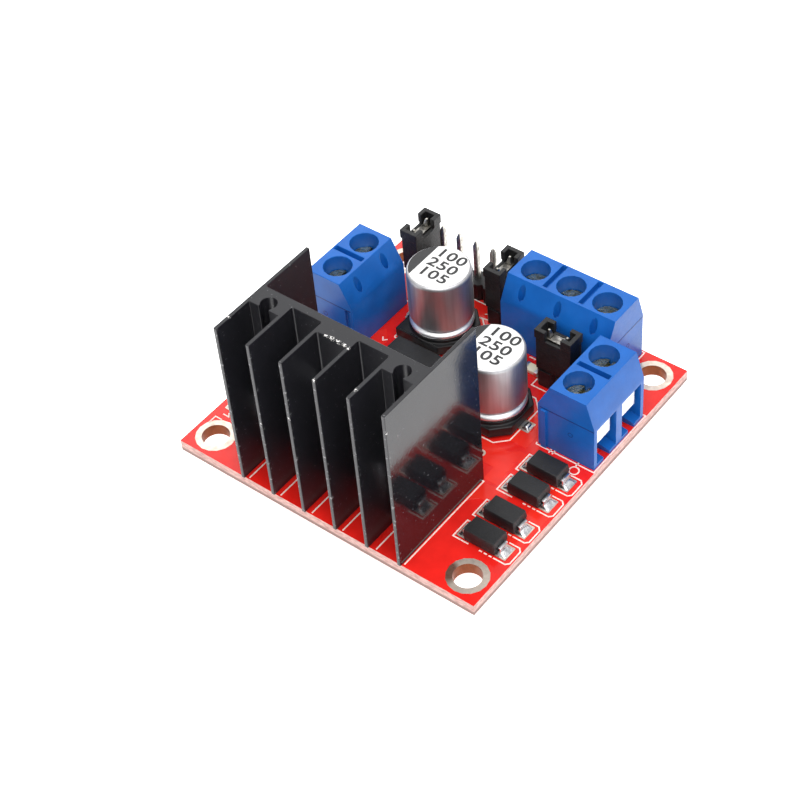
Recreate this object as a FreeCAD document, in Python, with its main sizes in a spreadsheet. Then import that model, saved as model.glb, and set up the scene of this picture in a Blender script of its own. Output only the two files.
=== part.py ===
import FreeCAD, Part
import os
import re
import Sketcher
from FreeCAD import Placement, Rotation, Vector

# Two-channel motor driver board, in millimetres.
# Z = 0 is the board's underside, the origin is the centre of its four mounting holes,
# +X runs along the heat sink's edge of the board and +Y away from that edge.

doc = FreeCAD.newDocument("motor_driver_module")
sheet = doc.addObject("Spreadsheet::Sheet", "Sizes")

SIZES = {
    # board
    "board_length": 43.0,
    "board_width": 43.0,
    "board_thickness": 1.6,
    "mount_spacing": 37.0,
    "mount_hole_radius": 1.7,
    "mount_land_radius": 2.5,
    "plating_wall": 0.1,
    "land_thickness": 0.05,
    "tail_length": 1.2,
    "solder_radius": 0.95,
    "solder_taper": 12.0,
    "drill_margin": 0.08,
    # heat sink extrusion
    "sink_width": 23.3,
    "sink_height": 23.9,
    "sink_overhang": 0.2,
    "fin_count": 6,
    "fin_thickness": 0.45,
    "fin_reach": 7.2,
    "web_thickness": 1.0,
    "rear_fin_reach": 7.4,
    "boss_depth": 1.4,
    "channel_block_depth": 1.85,
    "channel_radius": 0.95,
    "channel_mouth": 1.4,
    "channel_setback": 0.95,
    "root_radius": 0.25,
    "peg_grip": 8.0,
    # driver circuit
    "ic_width": 20.2,
    "ic_thickness": 5.0,
    "ic_body_height": 10.7,
    "ic_standoff": 1.8,
    "tab_height": 17.5,
    "tab_width": 17.2,
    "tab_thickness": 1.6,
    "tab_hole_drop": 2.8,
    "tab_hole_radius": 1.85,
    "lead_pitch": 1.27,
    "lead_pairs": 7,
    "lead_width": 0.7,
    "lead_thickness": 0.5,
    "lead_exit": 2.65,
    "lead_row_near": 4.55,
    "lead_row_gap": 5.08,
    "lead_neck": 0.6,
    "ic_screw_radius": 1.45,
    "ic_screw_head_radius": 2.7,
    "ic_screw_head_height": 2.0,
    "ic_screw_head_bevel": 0.7,
    # screw terminals
    "pole_pitch": 5.08,
    "block_back": 3.9,
    "block_front": 3.8,
    "block_top_back": 2.2,
    "block_top_front": 2.7,
    "block_height": 10.1,
    "back_slope_foot": 6.7,
    "front_slope_foot": 6.6,
    "side_block_inset": 4.05,
    "side_block_place": 7.05,
    "rear_block_inset": 4.4,
    "rear_block_place": 7.85,
    "well_radius": 1.8,
    "entry_width": 3.9,
    "entry_floor": 0.55,
    "entry_ceiling": 6.1,
    "entry_depth": 5.7,
    "sill_depth": 1.95,
    "sill_height": 0.4,
    "sill_notch": 1.2,
    "top_slot_width": 0.7,
    "top_slot_depth": 0.9,
    "top_slot_margin": 0.2,
    "dimple_radius": 0.5,
    "dimple_setback": 0.75,
    "key_width": 0.7,
    "key_depth": 0.3,
    "cage_gap": 0.05,
    "cage_wall": 0.4,
    "cage_top": 4.45,
    "cage_bar": 0.85,
    "cage_depth": 3.6,
    "cage_pin_width": 1.0,
    "cage_pin_depth": 0.8,
    "leaf_width": 2.7,
    "leaf_thickness": 0.4,
    "leaf_lift": 3.1,
    "leaf_setback": 0.5,
    "screw_radius": 1.5,
    "screw_fit": 0.05,
    "screw_head_gap": 0.12,
    "screw_head_height": 1.4,
    "screw_head_lift": 6.55,
    "driver_slot_width": 0.55,
    "driver_slot_depth": 0.7,
    # electrolytic capacitors
    "can_radius": 4.0,
    "can_height": 10.5,
    "can_lift": 2.1,
    "can_round": 0.45,
    "can_bead_height": 0.8,
    "can_groove_height": 0.6,
    "can_groove_depth": 0.35,
    "can_base_side": 8.3,
    "can_base_chamfer": 1.9,
    "can_base_step": 0.5,
    "can_lead_width": 0.8,
    "can_lead_reach": 1.3,
    "can_lead_thickness": 0.25,
    "front_can_x": 6.3,
    "front_can_y": 3.3,
    "rear_can_x": -6.9,
    "rear_can_y": 10.75,
    # pin headers
    "pin_pitch": 2.54,
    "pin_side": 0.64,
    "pin_rise": 6.0,
    "strip_height": 2.54,
    "strip_width": 2.5,
    "strip_notch": 0.45,
    "control_pin_count": 6,
    "control_row_x": -14.94,
    "control_row_y": 18.7,
    "supply_pair_x": 8.95,
    "supply_pair_y": 10.95,
    # jumper caps
    "cap_length": 4.9,
    "cap_width": 2.3,
    "cap_height": 6.3,
    "cap_wall": 0.45,
    "cap_rim": 0.12,
    "cap_rim_height": 1.3,
    "cap_notch_width": 2.2,
    "cap_notch_depth": 1.5,
    "cap_seat_gap": 0.1,
    "clip_length": 3.7,
    "clip_fit": 0.05,
    "clip_sheet": 0.2,
    "clip_lift": 0.8,
    "clip_height": 4.9,
    # diodes
    "diode_length": 4.3,
    "diode_width": 2.6,
    "diode_height": 1.9,
    "diode_lift": 0.1,
    "diode_draft": 7.0,
    "diode_lead_width": 1.4,
    "diode_lead_thickness": 0.2,
    "diode_lead_reach": 0.45,
    "diode_lead_foot": 1.0,
    "diode_x": 17.25,
    "diode_1_y": -13.5,
    "diode_2_y": -9.8,
    "diode_3_y": -5.2,
    "diode_4_y": -1.48,
    # regulator and small chips
    "regulator_x": -6.1,
    "regulator_y": 2.2,
    "regulator_length": 6.6,
    "regulator_depth": 6.1,
    "regulator_height": 2.3,
    "regulator_tab_width": 5.3,
    "regulator_tab_reach": 1.0,
    "regulator_lead_width": 0.8,
    "regulator_lead_reach": 2.0,
    "regulator_lead_pitch": 2.29,
    "regulator_sheet": 0.5,
    "chip_length": 2.0,
    "chip_width": 1.25,
    "resistor_height": 0.55,
    "capacitor_height": 0.9,
    "chip_pitch": 1.9,
    "resistor_x": 0.9,
    "resistor_y": 6.3,
    "ceramic_x": 3.9,
    "ceramic_y": 11.2,
    "led_x": 6.2,
    "led_y": 11.2,
}

for row, (alias, size) in enumerate(SIZES.items(), start=1):
    sheet.set(f"A{row}", alias.replace("_", " "))
    sheet.set(f"B{row}", str(size))
    sheet.setAlias(f"B{row}", alias)
doc.recompute()

nodes = []


def bound(text):
    """Point each size named in an expression at its cell in the sheet."""
    return re.sub(
        r"[a-z][a-z_0-9]*",
        lambda word: f"Sizes.{word.group()}" if word.group() in SIZES else word.group(),
        text,
    )


def bind(feature, target, text):
    feature.setExpression(target, bound(text))


def size_of(text):
    return float(sheet.evalExpression(bound(text)))


def new_body(label):
    body = doc.addObject("PartDesign::Body", label)
    body.Label = label
    nodes.append(body)
    return body


def origin_feature(body, role):
    return next(feature for feature in body.Origin.OriginFeatures if feature.Role == role)


def new_sketch(body, role, name, lift="0"):
    sketch = body.newObject("Sketcher::SketchObject", name)
    sketch.AttachmentSupport = [(origin_feature(body, role), "")]
    sketch.MapMode = "FlatFace"
    bind(sketch, "AttachmentOffset.Base.z", lift)
    return sketch


def constrain(sketch, plain, driven):
    """Add plain constraints, then those that follow an expression, in one go."""
    made = [Sketcher.Constraint(*terms, size_of(text)) for terms, text in driven]
    indices = sketch.addConstraint(plain + made)
    for index, (_, text) in zip(indices[len(plain):], driven):
        bind(sketch, f"Constraints[{index}]", text)


def draw_polygon(sketch, corners):
    """A closed outline whose corners are pairs of expressions."""
    points = [Vector(size_of(across), size_of(up), 0) for across, up in corners]
    sides = [Part.LineSegment(start, end) for start, end in zip(points, points[1:] + points[:1])]
    lines = sketch.addGeometry(sides)
    joints = [
        Sketcher.Constraint("Coincident", line, 2, following, 1)
        for line, following in zip(lines, lines[1:] + lines[:1])
    ]
    driven = []
    for line, (across, up) in zip(lines, corners):
        driven.append((("DistanceX", line, 1), across))
        driven.append((("DistanceY", line, 1), up))
    constrain(sketch, joints, driven)


def draw_rectangle(sketch, left, right, bottom, top):
    draw_polygon(sketch, [(left, bottom), (right, bottom), (right, top), (left, top)])


def draw_block(sketch, across, up, half_across, half_up):
    """A rectangle given by its centre and half sizes."""
    draw_rectangle(
        sketch,
        f"{across} - ({half_across})",
        f"{across} + ({half_across})",
        f"{up} - ({half_up})",
        f"{up} + ({half_up})",
    )


def draw_circle(sketch, across, up, radius):
    centre = Vector(size_of(across), size_of(up), 0)
    circle = sketch.addGeometry(Part.Circle(centre, Vector(0, 0, 1), size_of(radius)))
    middle = [(("DistanceX", circle, 3), across), (("DistanceY", circle, 3), up)]
    driven = middle + [(("Radius", circle), radius)]
    constrain(sketch, [], driven)


def draw_round(sketch, across, up, radius, sides):
    """A regular outline with its corners on a circle."""
    turns = [f"360 * {side} / {sides}" for side in range(sides)]
    draw_polygon(
        sketch,
        [(f"{across} + ({radius}) * cos({turn})", f"{up} + ({radius}) * sin({turn})") for turn in turns],
    )


def around(radius, sides):
    """Corner radius of a regular outline whose sides touch a circle."""
    return f"({radius}) / cos(180 / {sides})"


def add_feature(body, kind, name, sketch, length, way="forward", taper="0"):
    """Pad or pocket; the way is forward, back or both, taken along the sketch's normal."""
    feature = body.newObject(f"PartDesign::{kind}", name)
    feature.Profile = sketch
    bind(feature, "Length", length)
    if way == "both":
        feature.SideType = "Symmetric"
    else:
        feature.Reversed = (way == "back") != (kind == "Pocket")
    if taper != "0":
        bind(feature, "TaperAngle", taper)
    return feature


def pad(body, sketch, name, length, way="forward", taper="0"):
    return add_feature(body, "Pad", name, sketch, length, way, taper)


def pocket(body, sketch, name, length, way="forward"):
    return add_feature(body, "Pocket", name, sketch, length, way)


def revolve(body, sketch, name, kind="Revolution"):
    feature = body.newObject(f"PartDesign::{kind}", name)
    feature.Profile = sketch
    feature.ReferenceAxis = (sketch, ["V_Axis"])
    feature.Angle = 360.0
    return feature


def edges_where(feature, test):
    """Names of the edges whose bounding box passes a test."""
    edges = enumerate(feature.Shape.Edges, start=1)
    return [f"Edge{number}" for number, edge in edges if test(edge.BoundBox)]


def faces_where(feature, test):
    """Names of the faces whose bounding box passes a test."""
    faces = enumerate(feature.Shape.Faces, start=1)
    return [f"Face{number}" for number, face in faces if test(face.BoundBox)]


def repeat(body, features, name, role, step, copies):
    pattern = body.newObject("PartDesign::LinearPattern", name)
    pattern.Originals = features
    pattern.Direction = (origin_feature(body, role), [""])
    bind(pattern, "Length", f"({step}) * (({copies}) - 1)")
    bind(pattern, "Occurrences", copies)
    body.Tip = pattern
    return pattern


def place(body, across="0", along="0", up="0", turn=0):
    body.Placement = Placement(Vector(), Rotation(Vector(0, 0, 1), turn))
    bind(body, "Placement.Base.x", across)
    bind(body, "Placement.Base.y", along)
    bind(body, "Placement.Base.z", up)


# Where things stand: three terminal blocks, each with its wires leaving outwards.
BLOCKS = {
    "left": (2, "side_block_inset - board_length / 2", "side_block_place", 90),
    "right": (2, "board_length / 2 - side_block_inset", "side_block_place", -90),
    "rear": (3, "rear_block_place", "board_width / 2 - rear_block_inset", 0),
}
SINK_FRONT = "(-board_width / 2 - sink_overhang)"
WEB_FRONT = f"({SINK_FRONT} + fin_reach)"
WEB_BACK = f"({WEB_FRONT} + web_thickness)"
FIN_PITCH = "((sink_width - fin_thickness) / (fin_count - 1))"
CHANNEL_X = f"(sink_width / 2 - fin_thickness / 2 - {FIN_PITCH} / 2)"
CHANNEL_Y = f"({WEB_FRONT} - channel_setback)"
NEAR_ROW = f"({WEB_BACK} + lead_row_near)"
FAR_ROW = f"({NEAR_ROW} + lead_row_gap)"
ENABLE_ROW = "(control_row_y - pin_pitch)"
ENABLE_COLUMNS = ("control_row_x", "(control_row_x + (control_pin_count - 1) * pin_pitch)")


def pole_offset(poles, pole):
    return f"({pole - (poles - 1) / 2}) * pole_pitch"


HALF_PIN = "pin_side / 2"


def lead_rows():
    """Rows of leads that pass the board: first centre, direction, pitch, count and half sizes."""
    rows = []
    for side, (poles, across, along, turn) in BLOCKS.items():
        first = pole_offset(poles, 0)
        if turn:
            start, heading = (across, f"{along} + {first}"), "Y_Axis"
            halves = ("cage_pin_depth / 2", "cage_pin_width / 2")
        else:
            start, heading = (f"{across} + {first}", along), "X_Axis"
            halves = ("cage_pin_width / 2", "cage_pin_depth / 2")
        rows.append((f"{side}_terminal", start, heading, "pole_pitch", str(poles), halves))
    pin_halves = (HALF_PIN, HALF_PIN)
    lead_halves = ("lead_width / 2", "lead_thickness / 2")
    for name, start, pitch, count, halves in (
        ("control", ("control_row_x", "control_row_y"), "pin_pitch", "control_pin_count", pin_halves),
        ("enable", ("control_row_x", ENABLE_ROW), "(control_pin_count - 1) * pin_pitch", "2", pin_halves),
        ("supply", ("supply_pair_x", "supply_pair_y"), "pin_pitch", "2", pin_halves),
        ("near_lead", ("-lead_pairs * lead_pitch", NEAR_ROW), "2 * lead_pitch", "lead_pairs + 1", lead_halves),
        ("far_lead", ("(1 - lead_pairs) * lead_pitch", FAR_ROW), "2 * lead_pitch", "lead_pairs", lead_halves),
    ):
        rows.append((name, start, "X_Axis", pitch, count, halves))
    return rows


ROWS = lead_rows()
PEGS = [(f"{side} * {CHANNEL_X}", CHANNEL_Y) for side in (-1, 1)]

# Sides of the round forms drawn as regular outlines
DRILL_SIDES = 6
SOLDER_SIDES = 8
THREAD_SIDES = 8
DIMPLE_SIDES = 8
PEG_SIDES = 12
SHANK_SIDES = 12
LAND_SIDES = 16
WELL_SIDES = 16
COLLAR_SIDES = 24


def at_mounts(body, make, name, lift, length, way, radius):
    """The same round form at the four mounting holes: two drawn, then repeated across the board."""
    plan = new_sketch(body, "XY_Plane", f"{name}_outline", lift)
    for row in (-1, 1):
        draw_round(plan, "-mount_spacing / 2", f"{row} * mount_spacing / 2", radius, LAND_SIDES)
    repeat(body, [make(body, plan, name, length, way)], f"{name}_pattern", "X_Axis", "mount_spacing", "2")


# Board
board = new_body("circuit_board")
outline = new_sketch(board, "XY_Plane", "board_outline")
draw_block(outline, "0", "0", "board_length / 2", "board_width / 2")
pad(board, outline, "board_sheet", "board_thickness")
drills = new_sketch(board, "XY_Plane", "board_drills")
for across, along in PEGS:
    draw_round(drills, across, along, around("channel_radius + drill_margin", PEG_SIDES), PEG_SIDES)
pocket(board, drills, "board_holes", "board_thickness")
BARREL_RADIUS = "mount_hole_radius + plating_wall"
at_mounts(board, pocket, "mount_drills", "0", "board_thickness", "forward", BARREL_RADIUS)
for name, (across, along), heading, pitch, count, (half_across, half_along) in ROWS:
    reach = f"sqrt(({half_across}) ^ 2 + ({half_along}) ^ 2) + drill_margin"
    drill = new_sketch(board, "XY_Plane", f"{name}_drill")
    draw_round(drill, across, along, around(reach, DRILL_SIDES), DRILL_SIDES)
    first_hole = pocket(board, drill, f"{name}_first_hole", "board_thickness")
    repeat(board, [first_hole], f"{name}_holes", heading, pitch, count)
at_mounts(board, pocket, "upper_lands", "board_thickness", "land_thickness", "back", "mount_land_radius")
at_mounts(board, pocket, "lower_lands", "0", "land_thickness", "forward", "mount_land_radius")

# Tinned lands and plated walls of the four mounting holes
plating = new_body("mounting_hole_plating")
for name, lift, height, outer in (
    ("barrels", "0", "board_thickness", BARREL_RADIUS),
    ("lower_rings", "0", "land_thickness", "mount_land_radius"),
    ("upper_rings", "board_thickness - land_thickness", "land_thickness", "mount_land_radius"),
):
    at_mounts(plating, pad, name, lift, height, "forward", outer)
bores = new_sketch(plating, "XY_Plane", "plated_bores_outline")
for across in (-1, 1):
    for along in (-1, 1):
        spot = (f"{across} * mount_spacing / 2", f"{along} * mount_spacing / 2")
        draw_circle(bores, *spot, "mount_hole_radius")
pocket(plating, bores, "plated_bores", "board_thickness")

# Solder cones round every lead, under the board
solder = new_body("solder_joints")
peg_feet = new_sketch(solder, "XY_Plane", "peg_feet")
for across, along in PEGS:
    draw_round(peg_feet, across, along, "channel_radius + solder_radius / 2", SOLDER_SIDES)
pad(solder, peg_feet, "peg_collars", "tail_length", "back")
for name, (across, along), heading, pitch, count, _ in ROWS:
    foot = new_sketch(solder, "XY_Plane", f"{name}_foot")
    draw_round(foot, across, along, "solder_radius", SOLDER_SIDES)
    first_collar = pad(solder, foot, f"{name}_collar", "tail_length", "back")
    repeat(solder, [first_collar], f"{name}_collars", heading, pitch, count)
doc.recompute()
collars = solder.Tip
cones = solder.newObject("PartDesign::Draft", "solder_cones")
cones.Base = (collars, faces_where(collars, lambda box: box.ZLength > size_of("tail_length / 2")))
cones.NeutralPlane = (origin_feature(solder, "XY_Plane"), [""])
bind(cones, "Angle", "solder_taper")
cones.Reversed = True
peg_sections = new_sketch(solder, "XY_Plane", "peg_sections")
for across, along in PEGS:
    draw_round(peg_sections, across, along, "channel_radius", PEG_SIDES)
pocket(solder, peg_sections, "peg_passages", "tail_length", "back")
for name, (across, along), heading, pitch, count, (half_across, half_along) in ROWS:
    section = new_sketch(solder, "XY_Plane", f"{name}_section")
    draw_block(section, across, along, half_across, half_along)
    first_passage = pocket(solder, section, f"{name}_passage", "tail_length", "back")
    repeat(solder, [first_passage], f"{name}_passages", heading, pitch, count)

# Heat sink: an aluminium extrusion standing on the board, cut square at both ends
sink = new_body("heat_sink")
web = new_sketch(sink, "XY_Plane", "web_section")
draw_rectangle(web, "-sink_width / 2", "sink_width / 2", WEB_FRONT, WEB_BACK)
pad(sink, web, "web", "sink_height")
fin = new_sketch(sink, "XY_Plane", "fin_section")
draw_rectangle(
    fin, "-sink_width / 2", "fin_thickness - sink_width / 2", SINK_FRONT, f"{WEB_FRONT} + web_thickness / 2"
)
first_fin = pad(sink, fin, "first_fin", "sink_height")
repeat(sink, [first_fin], "fins", "X_Axis", FIN_PITCH, "fin_count")
rear = new_sketch(sink, "XY_Plane", "rear_fin_sections")
for side in (-1, 1):
    draw_block(
        rear,
        f"{side} * (sink_width - fin_thickness) / 2",
        f"{WEB_BACK} + (rear_fin_reach - web_thickness / 2) / 2",
        "fin_thickness / 2",
        "(rear_fin_reach + web_thickness / 2) / 2",
    )
pad(sink, rear, "rear_fins", "sink_height")
thick = new_sketch(sink, "XY_Plane", "thick_sections")
draw_block(
    thick,
    "0",
    f"{WEB_FRONT} - (boss_depth - web_thickness / 2) / 2",
    f"{FIN_PITCH} / 2",
    "(boss_depth + web_thickness / 2) / 2",
)
for side in (-1, 1):
    draw_block(
        thick,
        f"{side} * {CHANNEL_X}",
        f"{WEB_FRONT} - (channel_block_depth - web_thickness / 2) / 2",
        f"{FIN_PITCH} / 2",
        "(channel_block_depth + web_thickness / 2) / 2",
    )
pad(sink, thick, "screw_boss_and_channel_blocks", "sink_height")
channels = new_sketch(sink, "XY_Plane", "channel_sections")
for across, along in PEGS:
    draw_circle(channels, across, along, "channel_radius")
pocket(sink, channels, "pin_channels", "sink_height")
mouths = new_sketch(sink, "XY_Plane", "channel_mouths")
for across, along in PEGS:
    draw_rectangle(
        mouths,
        f"{across} - channel_mouth / 2",
        f"{across} + channel_mouth / 2",
        f"{WEB_FRONT} - channel_block_depth - root_radius",
        along,
    )
pocket(sink, mouths, "mouths", "sink_height")
TAB_HOLE_LIFT = "(ic_standoff + tab_height - tab_hole_drop)"
tapped = new_sketch(sink, "XZ_Plane", "tapped_hole_outline")
draw_circle(tapped, "0", TAB_HOLE_LIFT, "ic_screw_radius")
pocket(sink, tapped, "tapped_hole", "board_width", "forward")
doc.recompute()
OUTER_BAY = f"({FIN_PITCH} * 1.5 - fin_thickness / 2)"
INNER_BAY = f"({FIN_PITCH} / 2 + fin_thickness / 2)"
BOSS_SIDE = f"({FIN_PITCH} / 2 - fin_thickness / 2)"
ROOTS = [
    (f"{way} * {across}", along)
    for way in (-1, 1)
    for across, along in (
        (OUTER_BAY, WEB_FRONT),
        (INNER_BAY, WEB_FRONT),
        (BOSS_SIDE, f"{WEB_FRONT} - boss_depth"),
        ("(sink_width / 2 - fin_thickness)", WEB_BACK),
    )
]
ROOT_LINES = [(size_of(across), size_of(along)) for across, along in ROOTS]


def is_root(box):
    upright = box.ZLength > size_of("sink_height / 2") and box.XLength < 1e-3 and box.YLength < 1e-3
    return upright and any(abs(box.XMin - x) < 1e-3 and abs(box.YMin - y) < 1e-3 for x, y in ROOT_LINES)


drilled_sink = sink.Tip
fin_roots = sink.newObject("PartDesign::Fillet", "fin_roots")
fin_roots.Base = (drilled_sink, edges_where(drilled_sink, is_root))
bind(fin_roots, "Radius", "root_radius")
place(sink, up="board_thickness")

# Steel pegs pressed in the channels and soldered to the board
pegs = new_body("heat_sink_pegs")
peg_ends = new_sketch(pegs, "XY_Plane", "peg_ends", "-tail_length")
for across, along in PEGS:
    draw_round(peg_ends, across, along, "channel_radius", PEG_SIDES)
pad(pegs, peg_ends, "pegs", "tail_length + board_thickness + peg_grip")

# Driver circuit: an upright power package screwed to the back of the web
IC_FOOT = "(board_thickness + ic_standoff)"
ic = new_body("driver_ic_body")
ic_outline = new_sketch(ic, "XY_Plane", "ic_outline")
draw_rectangle(ic_outline, "-ic_width / 2", "ic_width / 2", "0", "ic_thickness")
pad(ic, ic_outline, "moulding", "ic_body_height")
ic_recess = new_sketch(ic, "XY_Plane", "tab_recess")
draw_rectangle(ic_recess, "-tab_width / 2", "tab_width / 2", "0", "tab_thickness")
pocket(ic, ic_recess, "tab_seat", "ic_body_height")
place(ic, along=WEB_BACK, up=IC_FOOT)

tab = new_body("driver_ic_tab")
tab_outline = new_sketch(tab, "XZ_Plane", "tab_outline")
draw_polygon(
    tab_outline,
    [
        ("-tab_width / 2", "0"),
        ("tab_width / 2", "0"),
        ("tab_width / 2", "tab_height - tab_hole_drop / 2"),
        ("tab_width / 2 - tab_hole_drop / 2", "tab_height"),
        ("tab_hole_drop / 2 - tab_width / 2", "tab_height"),
        ("-tab_width / 2", "tab_height - tab_hole_drop / 2"),
    ],
)
pad(tab, tab_outline, "tab_plate", "tab_thickness", "back")
tab_hole = new_sketch(tab, "XZ_Plane", "tab_hole_outline")
draw_circle(tab_hole, "0", "tab_height - tab_hole_drop", "tab_hole_radius")
pocket(tab, tab_hole, "tab_hole", "tab_thickness", "back")
place(tab, along=WEB_BACK, up=IC_FOOT)

leads = new_body("driver_ic_leads")
for row, reach, count in (
    ("near", "lead_row_near", "lead_pairs + 1"),
    ("far", "(lead_row_near + lead_row_gap)", "lead_pairs"),
):
    side_view = new_sketch(leads, "YZ_Plane", f"{row}_lead_side", f"(1 - ({count})) * lead_pitch")
    half = "lead_thickness / 2"
    low = "lead_neck"
    foot = "-(ic_standoff + board_thickness + tail_length)"
    draw_polygon(
        side_view,
        [
            (f"lead_exit - {half}", "0"),
            (f"lead_exit - {half}", f"-{low} - {half}"),
            (f"{reach} - {half}", f"-2 * {low} - {half}" if row == "near" else f"-{low} - {half}"),
            (f"{reach} - {half}", foot),
            (f"{reach} + {half}", foot),
            (f"{reach} + {half}", f"-2 * {low} + {half}" if row == "near" else f"-{low} + {half}"),
            (f"lead_exit + {half}", f"-{low} + {half}"),
            (f"lead_exit + {half}", "0"),
        ],
    )
    first_lead = pad(leads, side_view, f"{row}_lead", "lead_width", "both")
    repeat(leads, [first_lead], f"{row}_leads", "X_Axis", "2 * lead_pitch", count)
place(leads, along=WEB_BACK, up=IC_FOOT)

ic_screw = new_body("driver_ic_screw")
head_face = new_sketch(ic_screw, "XZ_Plane", "head_face")
draw_circle(head_face, "0", "0", "ic_screw_head_radius")
head = pad(ic_screw, head_face, "head", "ic_screw_head_height", "back")
doc.recompute()
bevel = ic_screw.newObject("PartDesign::Chamfer", "bevelled_edge")
bevel.Base = (head, edges_where(head, lambda box: box.YMin > size_of("ic_screw_head_height / 2")))
bind(bevel, "Size", "ic_screw_head_bevel")
shank_face = new_sketch(ic_screw, "XZ_Plane", "shank_face")
draw_round(shank_face, "0", "0", "ic_screw_radius", SHANK_SIDES)
pad(ic_screw, shank_face, "shank", "tab_thickness + web_thickness + boss_depth")
recess = new_sketch(ic_screw, "XZ_Plane", "cross_recess", "-ic_screw_head_height")
CROSS_HALF = "(ic_screw_head_radius / 2)"
CROSS_ARM = "(ic_screw_head_radius / 8)"
quarter = [(CROSS_HALF, CROSS_ARM), (CROSS_ARM, CROSS_ARM), (CROSS_ARM, CROSS_HALF)]
draw_polygon(
    recess,
    quarter
    + [(f"-{across}", up) for across, up in reversed(quarter)]
    + [(f"-{across}", f"-{up}") for across, up in quarter]
    + [(across, f"-{up}") for across, up in reversed(quarter)],
)
pocket(ic_screw, recess, "cross", "ic_screw_head_height / 2", "forward")
place(ic_screw, along=f"{WEB_BACK} + tab_thickness", up=f"board_thickness + {TAB_HOLE_LIFT}")


# Screw terminals, in their own frame: x along the row, +y towards the wires, z up from the board
def make_housing(side, poles, across, along, turn):
    housing = new_body(f"{side}_terminal_housing")
    half_row = f"{poles} * pole_pitch / 2"
    ends = new_sketch(housing, "YZ_Plane", "end_profile")
    draw_polygon(
        ends,
        [
            ("-block_back", "0"),
            ("block_front", "0"),
            ("block_front", "front_slope_foot"),
            ("block_top_front", "block_height"),
            ("-block_top_back", "block_height"),
            ("-block_back", "back_slope_foot"),
        ],
    )
    pad(housing, ends, "moulding", f"{poles} * pole_pitch", "both")
    key = new_sketch(housing, "XY_Plane", "key_section")
    key_y = "-(block_back + block_top_back) / 2"
    draw_rectangle(
        key, half_row, f"{half_row} + key_depth", f"{key_y} - key_width / 2", f"{key_y} + key_width / 2"
    )
    pad(housing, key, "key", "entry_ceiling")
    keyway = new_sketch(housing, "XY_Plane", "keyway_section")
    draw_rectangle(
        keyway, f"-{half_row} - key_depth", f"key_depth - {half_row}",
        f"{key_y} - key_width / 2", f"{key_y} + key_width / 2",
    )
    pocket(housing, keyway, "keyway", "entry_ceiling")
    first = pole_offset(poles, 0)
    well = new_sketch(housing, "XY_Plane", "well_mouth", "block_height")
    draw_round(well, first, "0", "well_radius", WELL_SIDES)
    dimple = new_sketch(housing, "XY_Plane", "dimple_mouth", "block_height")
    draw_round(dimple, first, "-block_top_back - dimple_setback", "dimple_radius", DIMPLE_SIDES)
    pin_way = new_sketch(housing, "XY_Plane", "pin_way")
    draw_block(pin_way, first, "0", "cage_pin_width / 2", "cage_pin_depth / 2")
    entry = new_sketch(housing, "YZ_Plane", "entry_profile", first)
    draw_polygon(
        entry,
        [
            ("block_front - entry_depth", "entry_floor"),
            ("block_front - sill_depth", "entry_floor"),
            ("block_front - sill_depth", "entry_floor + sill_height"),
            ("block_front", "entry_floor"),
            ("block_front + key_depth", "entry_floor"),
            ("block_front + key_depth", "entry_ceiling"),
            ("block_front - entry_depth", "entry_ceiling"),
        ],
    )
    notch = new_sketch(housing, "XY_Plane", "sill_notch_outline")
    draw_rectangle(
        notch, f"{first} - sill_notch / 2", f"{first} + sill_notch / 2",
        "block_front - sill_depth", "block_front + key_depth",
    )
    pole_cuts = [
        pocket(housing, well, "well", "block_height - entry_ceiling", "back"),
        pocket(housing, dimple, "dimple", "block_height - back_slope_foot - key_depth", "back"),
        pocket(housing, pin_way, "pin_passage", "entry_floor + sill_height", "forward"),
        pocket(housing, entry, "entry", "entry_width", "both"),
        pocket(housing, notch, "notch", "entry_floor + sill_height", "forward"),
    ]
    repeat(housing, pole_cuts, "poles", "X_Axis", "pole_pitch", str(poles))
    slots = new_sketch(housing, "XY_Plane", "top_slots", "block_height")
    for gap in range(poles - 1):
        middle = f"({gap + 1 - poles / 2}) * pole_pitch"
        draw_rectangle(
            slots, f"{middle} - top_slot_width / 2", f"{middle} + top_slot_width / 2",
            "top_slot_width / 2 - block_top_back", "block_top_front - top_slot_margin",
        )
    pocket(housing, slots, "slots", "top_slot_depth", "back")
    place(housing, across, along, "board_thickness", turn)


def make_contacts(side, poles, across, along, turn):
    """Bent cages, one in each pole, with a threaded top bar and a solder pin."""
    contacts = new_body(f"{side}_terminal_contacts")
    half = "(entry_width / 2 - cage_gap)"
    first = pole_offset(poles, 0)
    cage = new_sketch(contacts, "XZ_Plane", "cage_profile")
    draw_rectangle(cage, f"{first} - {half}", f"{first} + {half}", "entry_floor + cage_gap", "cage_top")
    draw_rectangle(
        cage, f"{first} - {half} + cage_wall", f"{first} + {half} - cage_wall",
        "entry_floor + cage_gap + cage_wall", "cage_top - cage_bar",
    )
    pin = new_sketch(contacts, "XY_Plane", "pin_section", "entry_floor + cage_gap")
    draw_block(pin, first, "0", "cage_pin_width / 2", "cage_pin_depth / 2")
    thread = new_sketch(contacts, "XY_Plane", "thread", "cage_top")
    draw_round(thread, first, "0", around("screw_radius + screw_fit", THREAD_SIDES), THREAD_SIDES)
    pole_forms = [
        pad(contacts, cage, "cage", "cage_depth", "both"),
        pad(contacts, pin, "pin", "entry_floor + cage_gap + board_thickness + tail_length", "back"),
        pocket(contacts, thread, "threaded_hole", "cage_bar", "back"),
    ]
    repeat(contacts, pole_forms, "poles", "X_Axis", "pole_pitch", str(poles))
    place(contacts, across, along, "board_thickness", turn)


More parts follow.
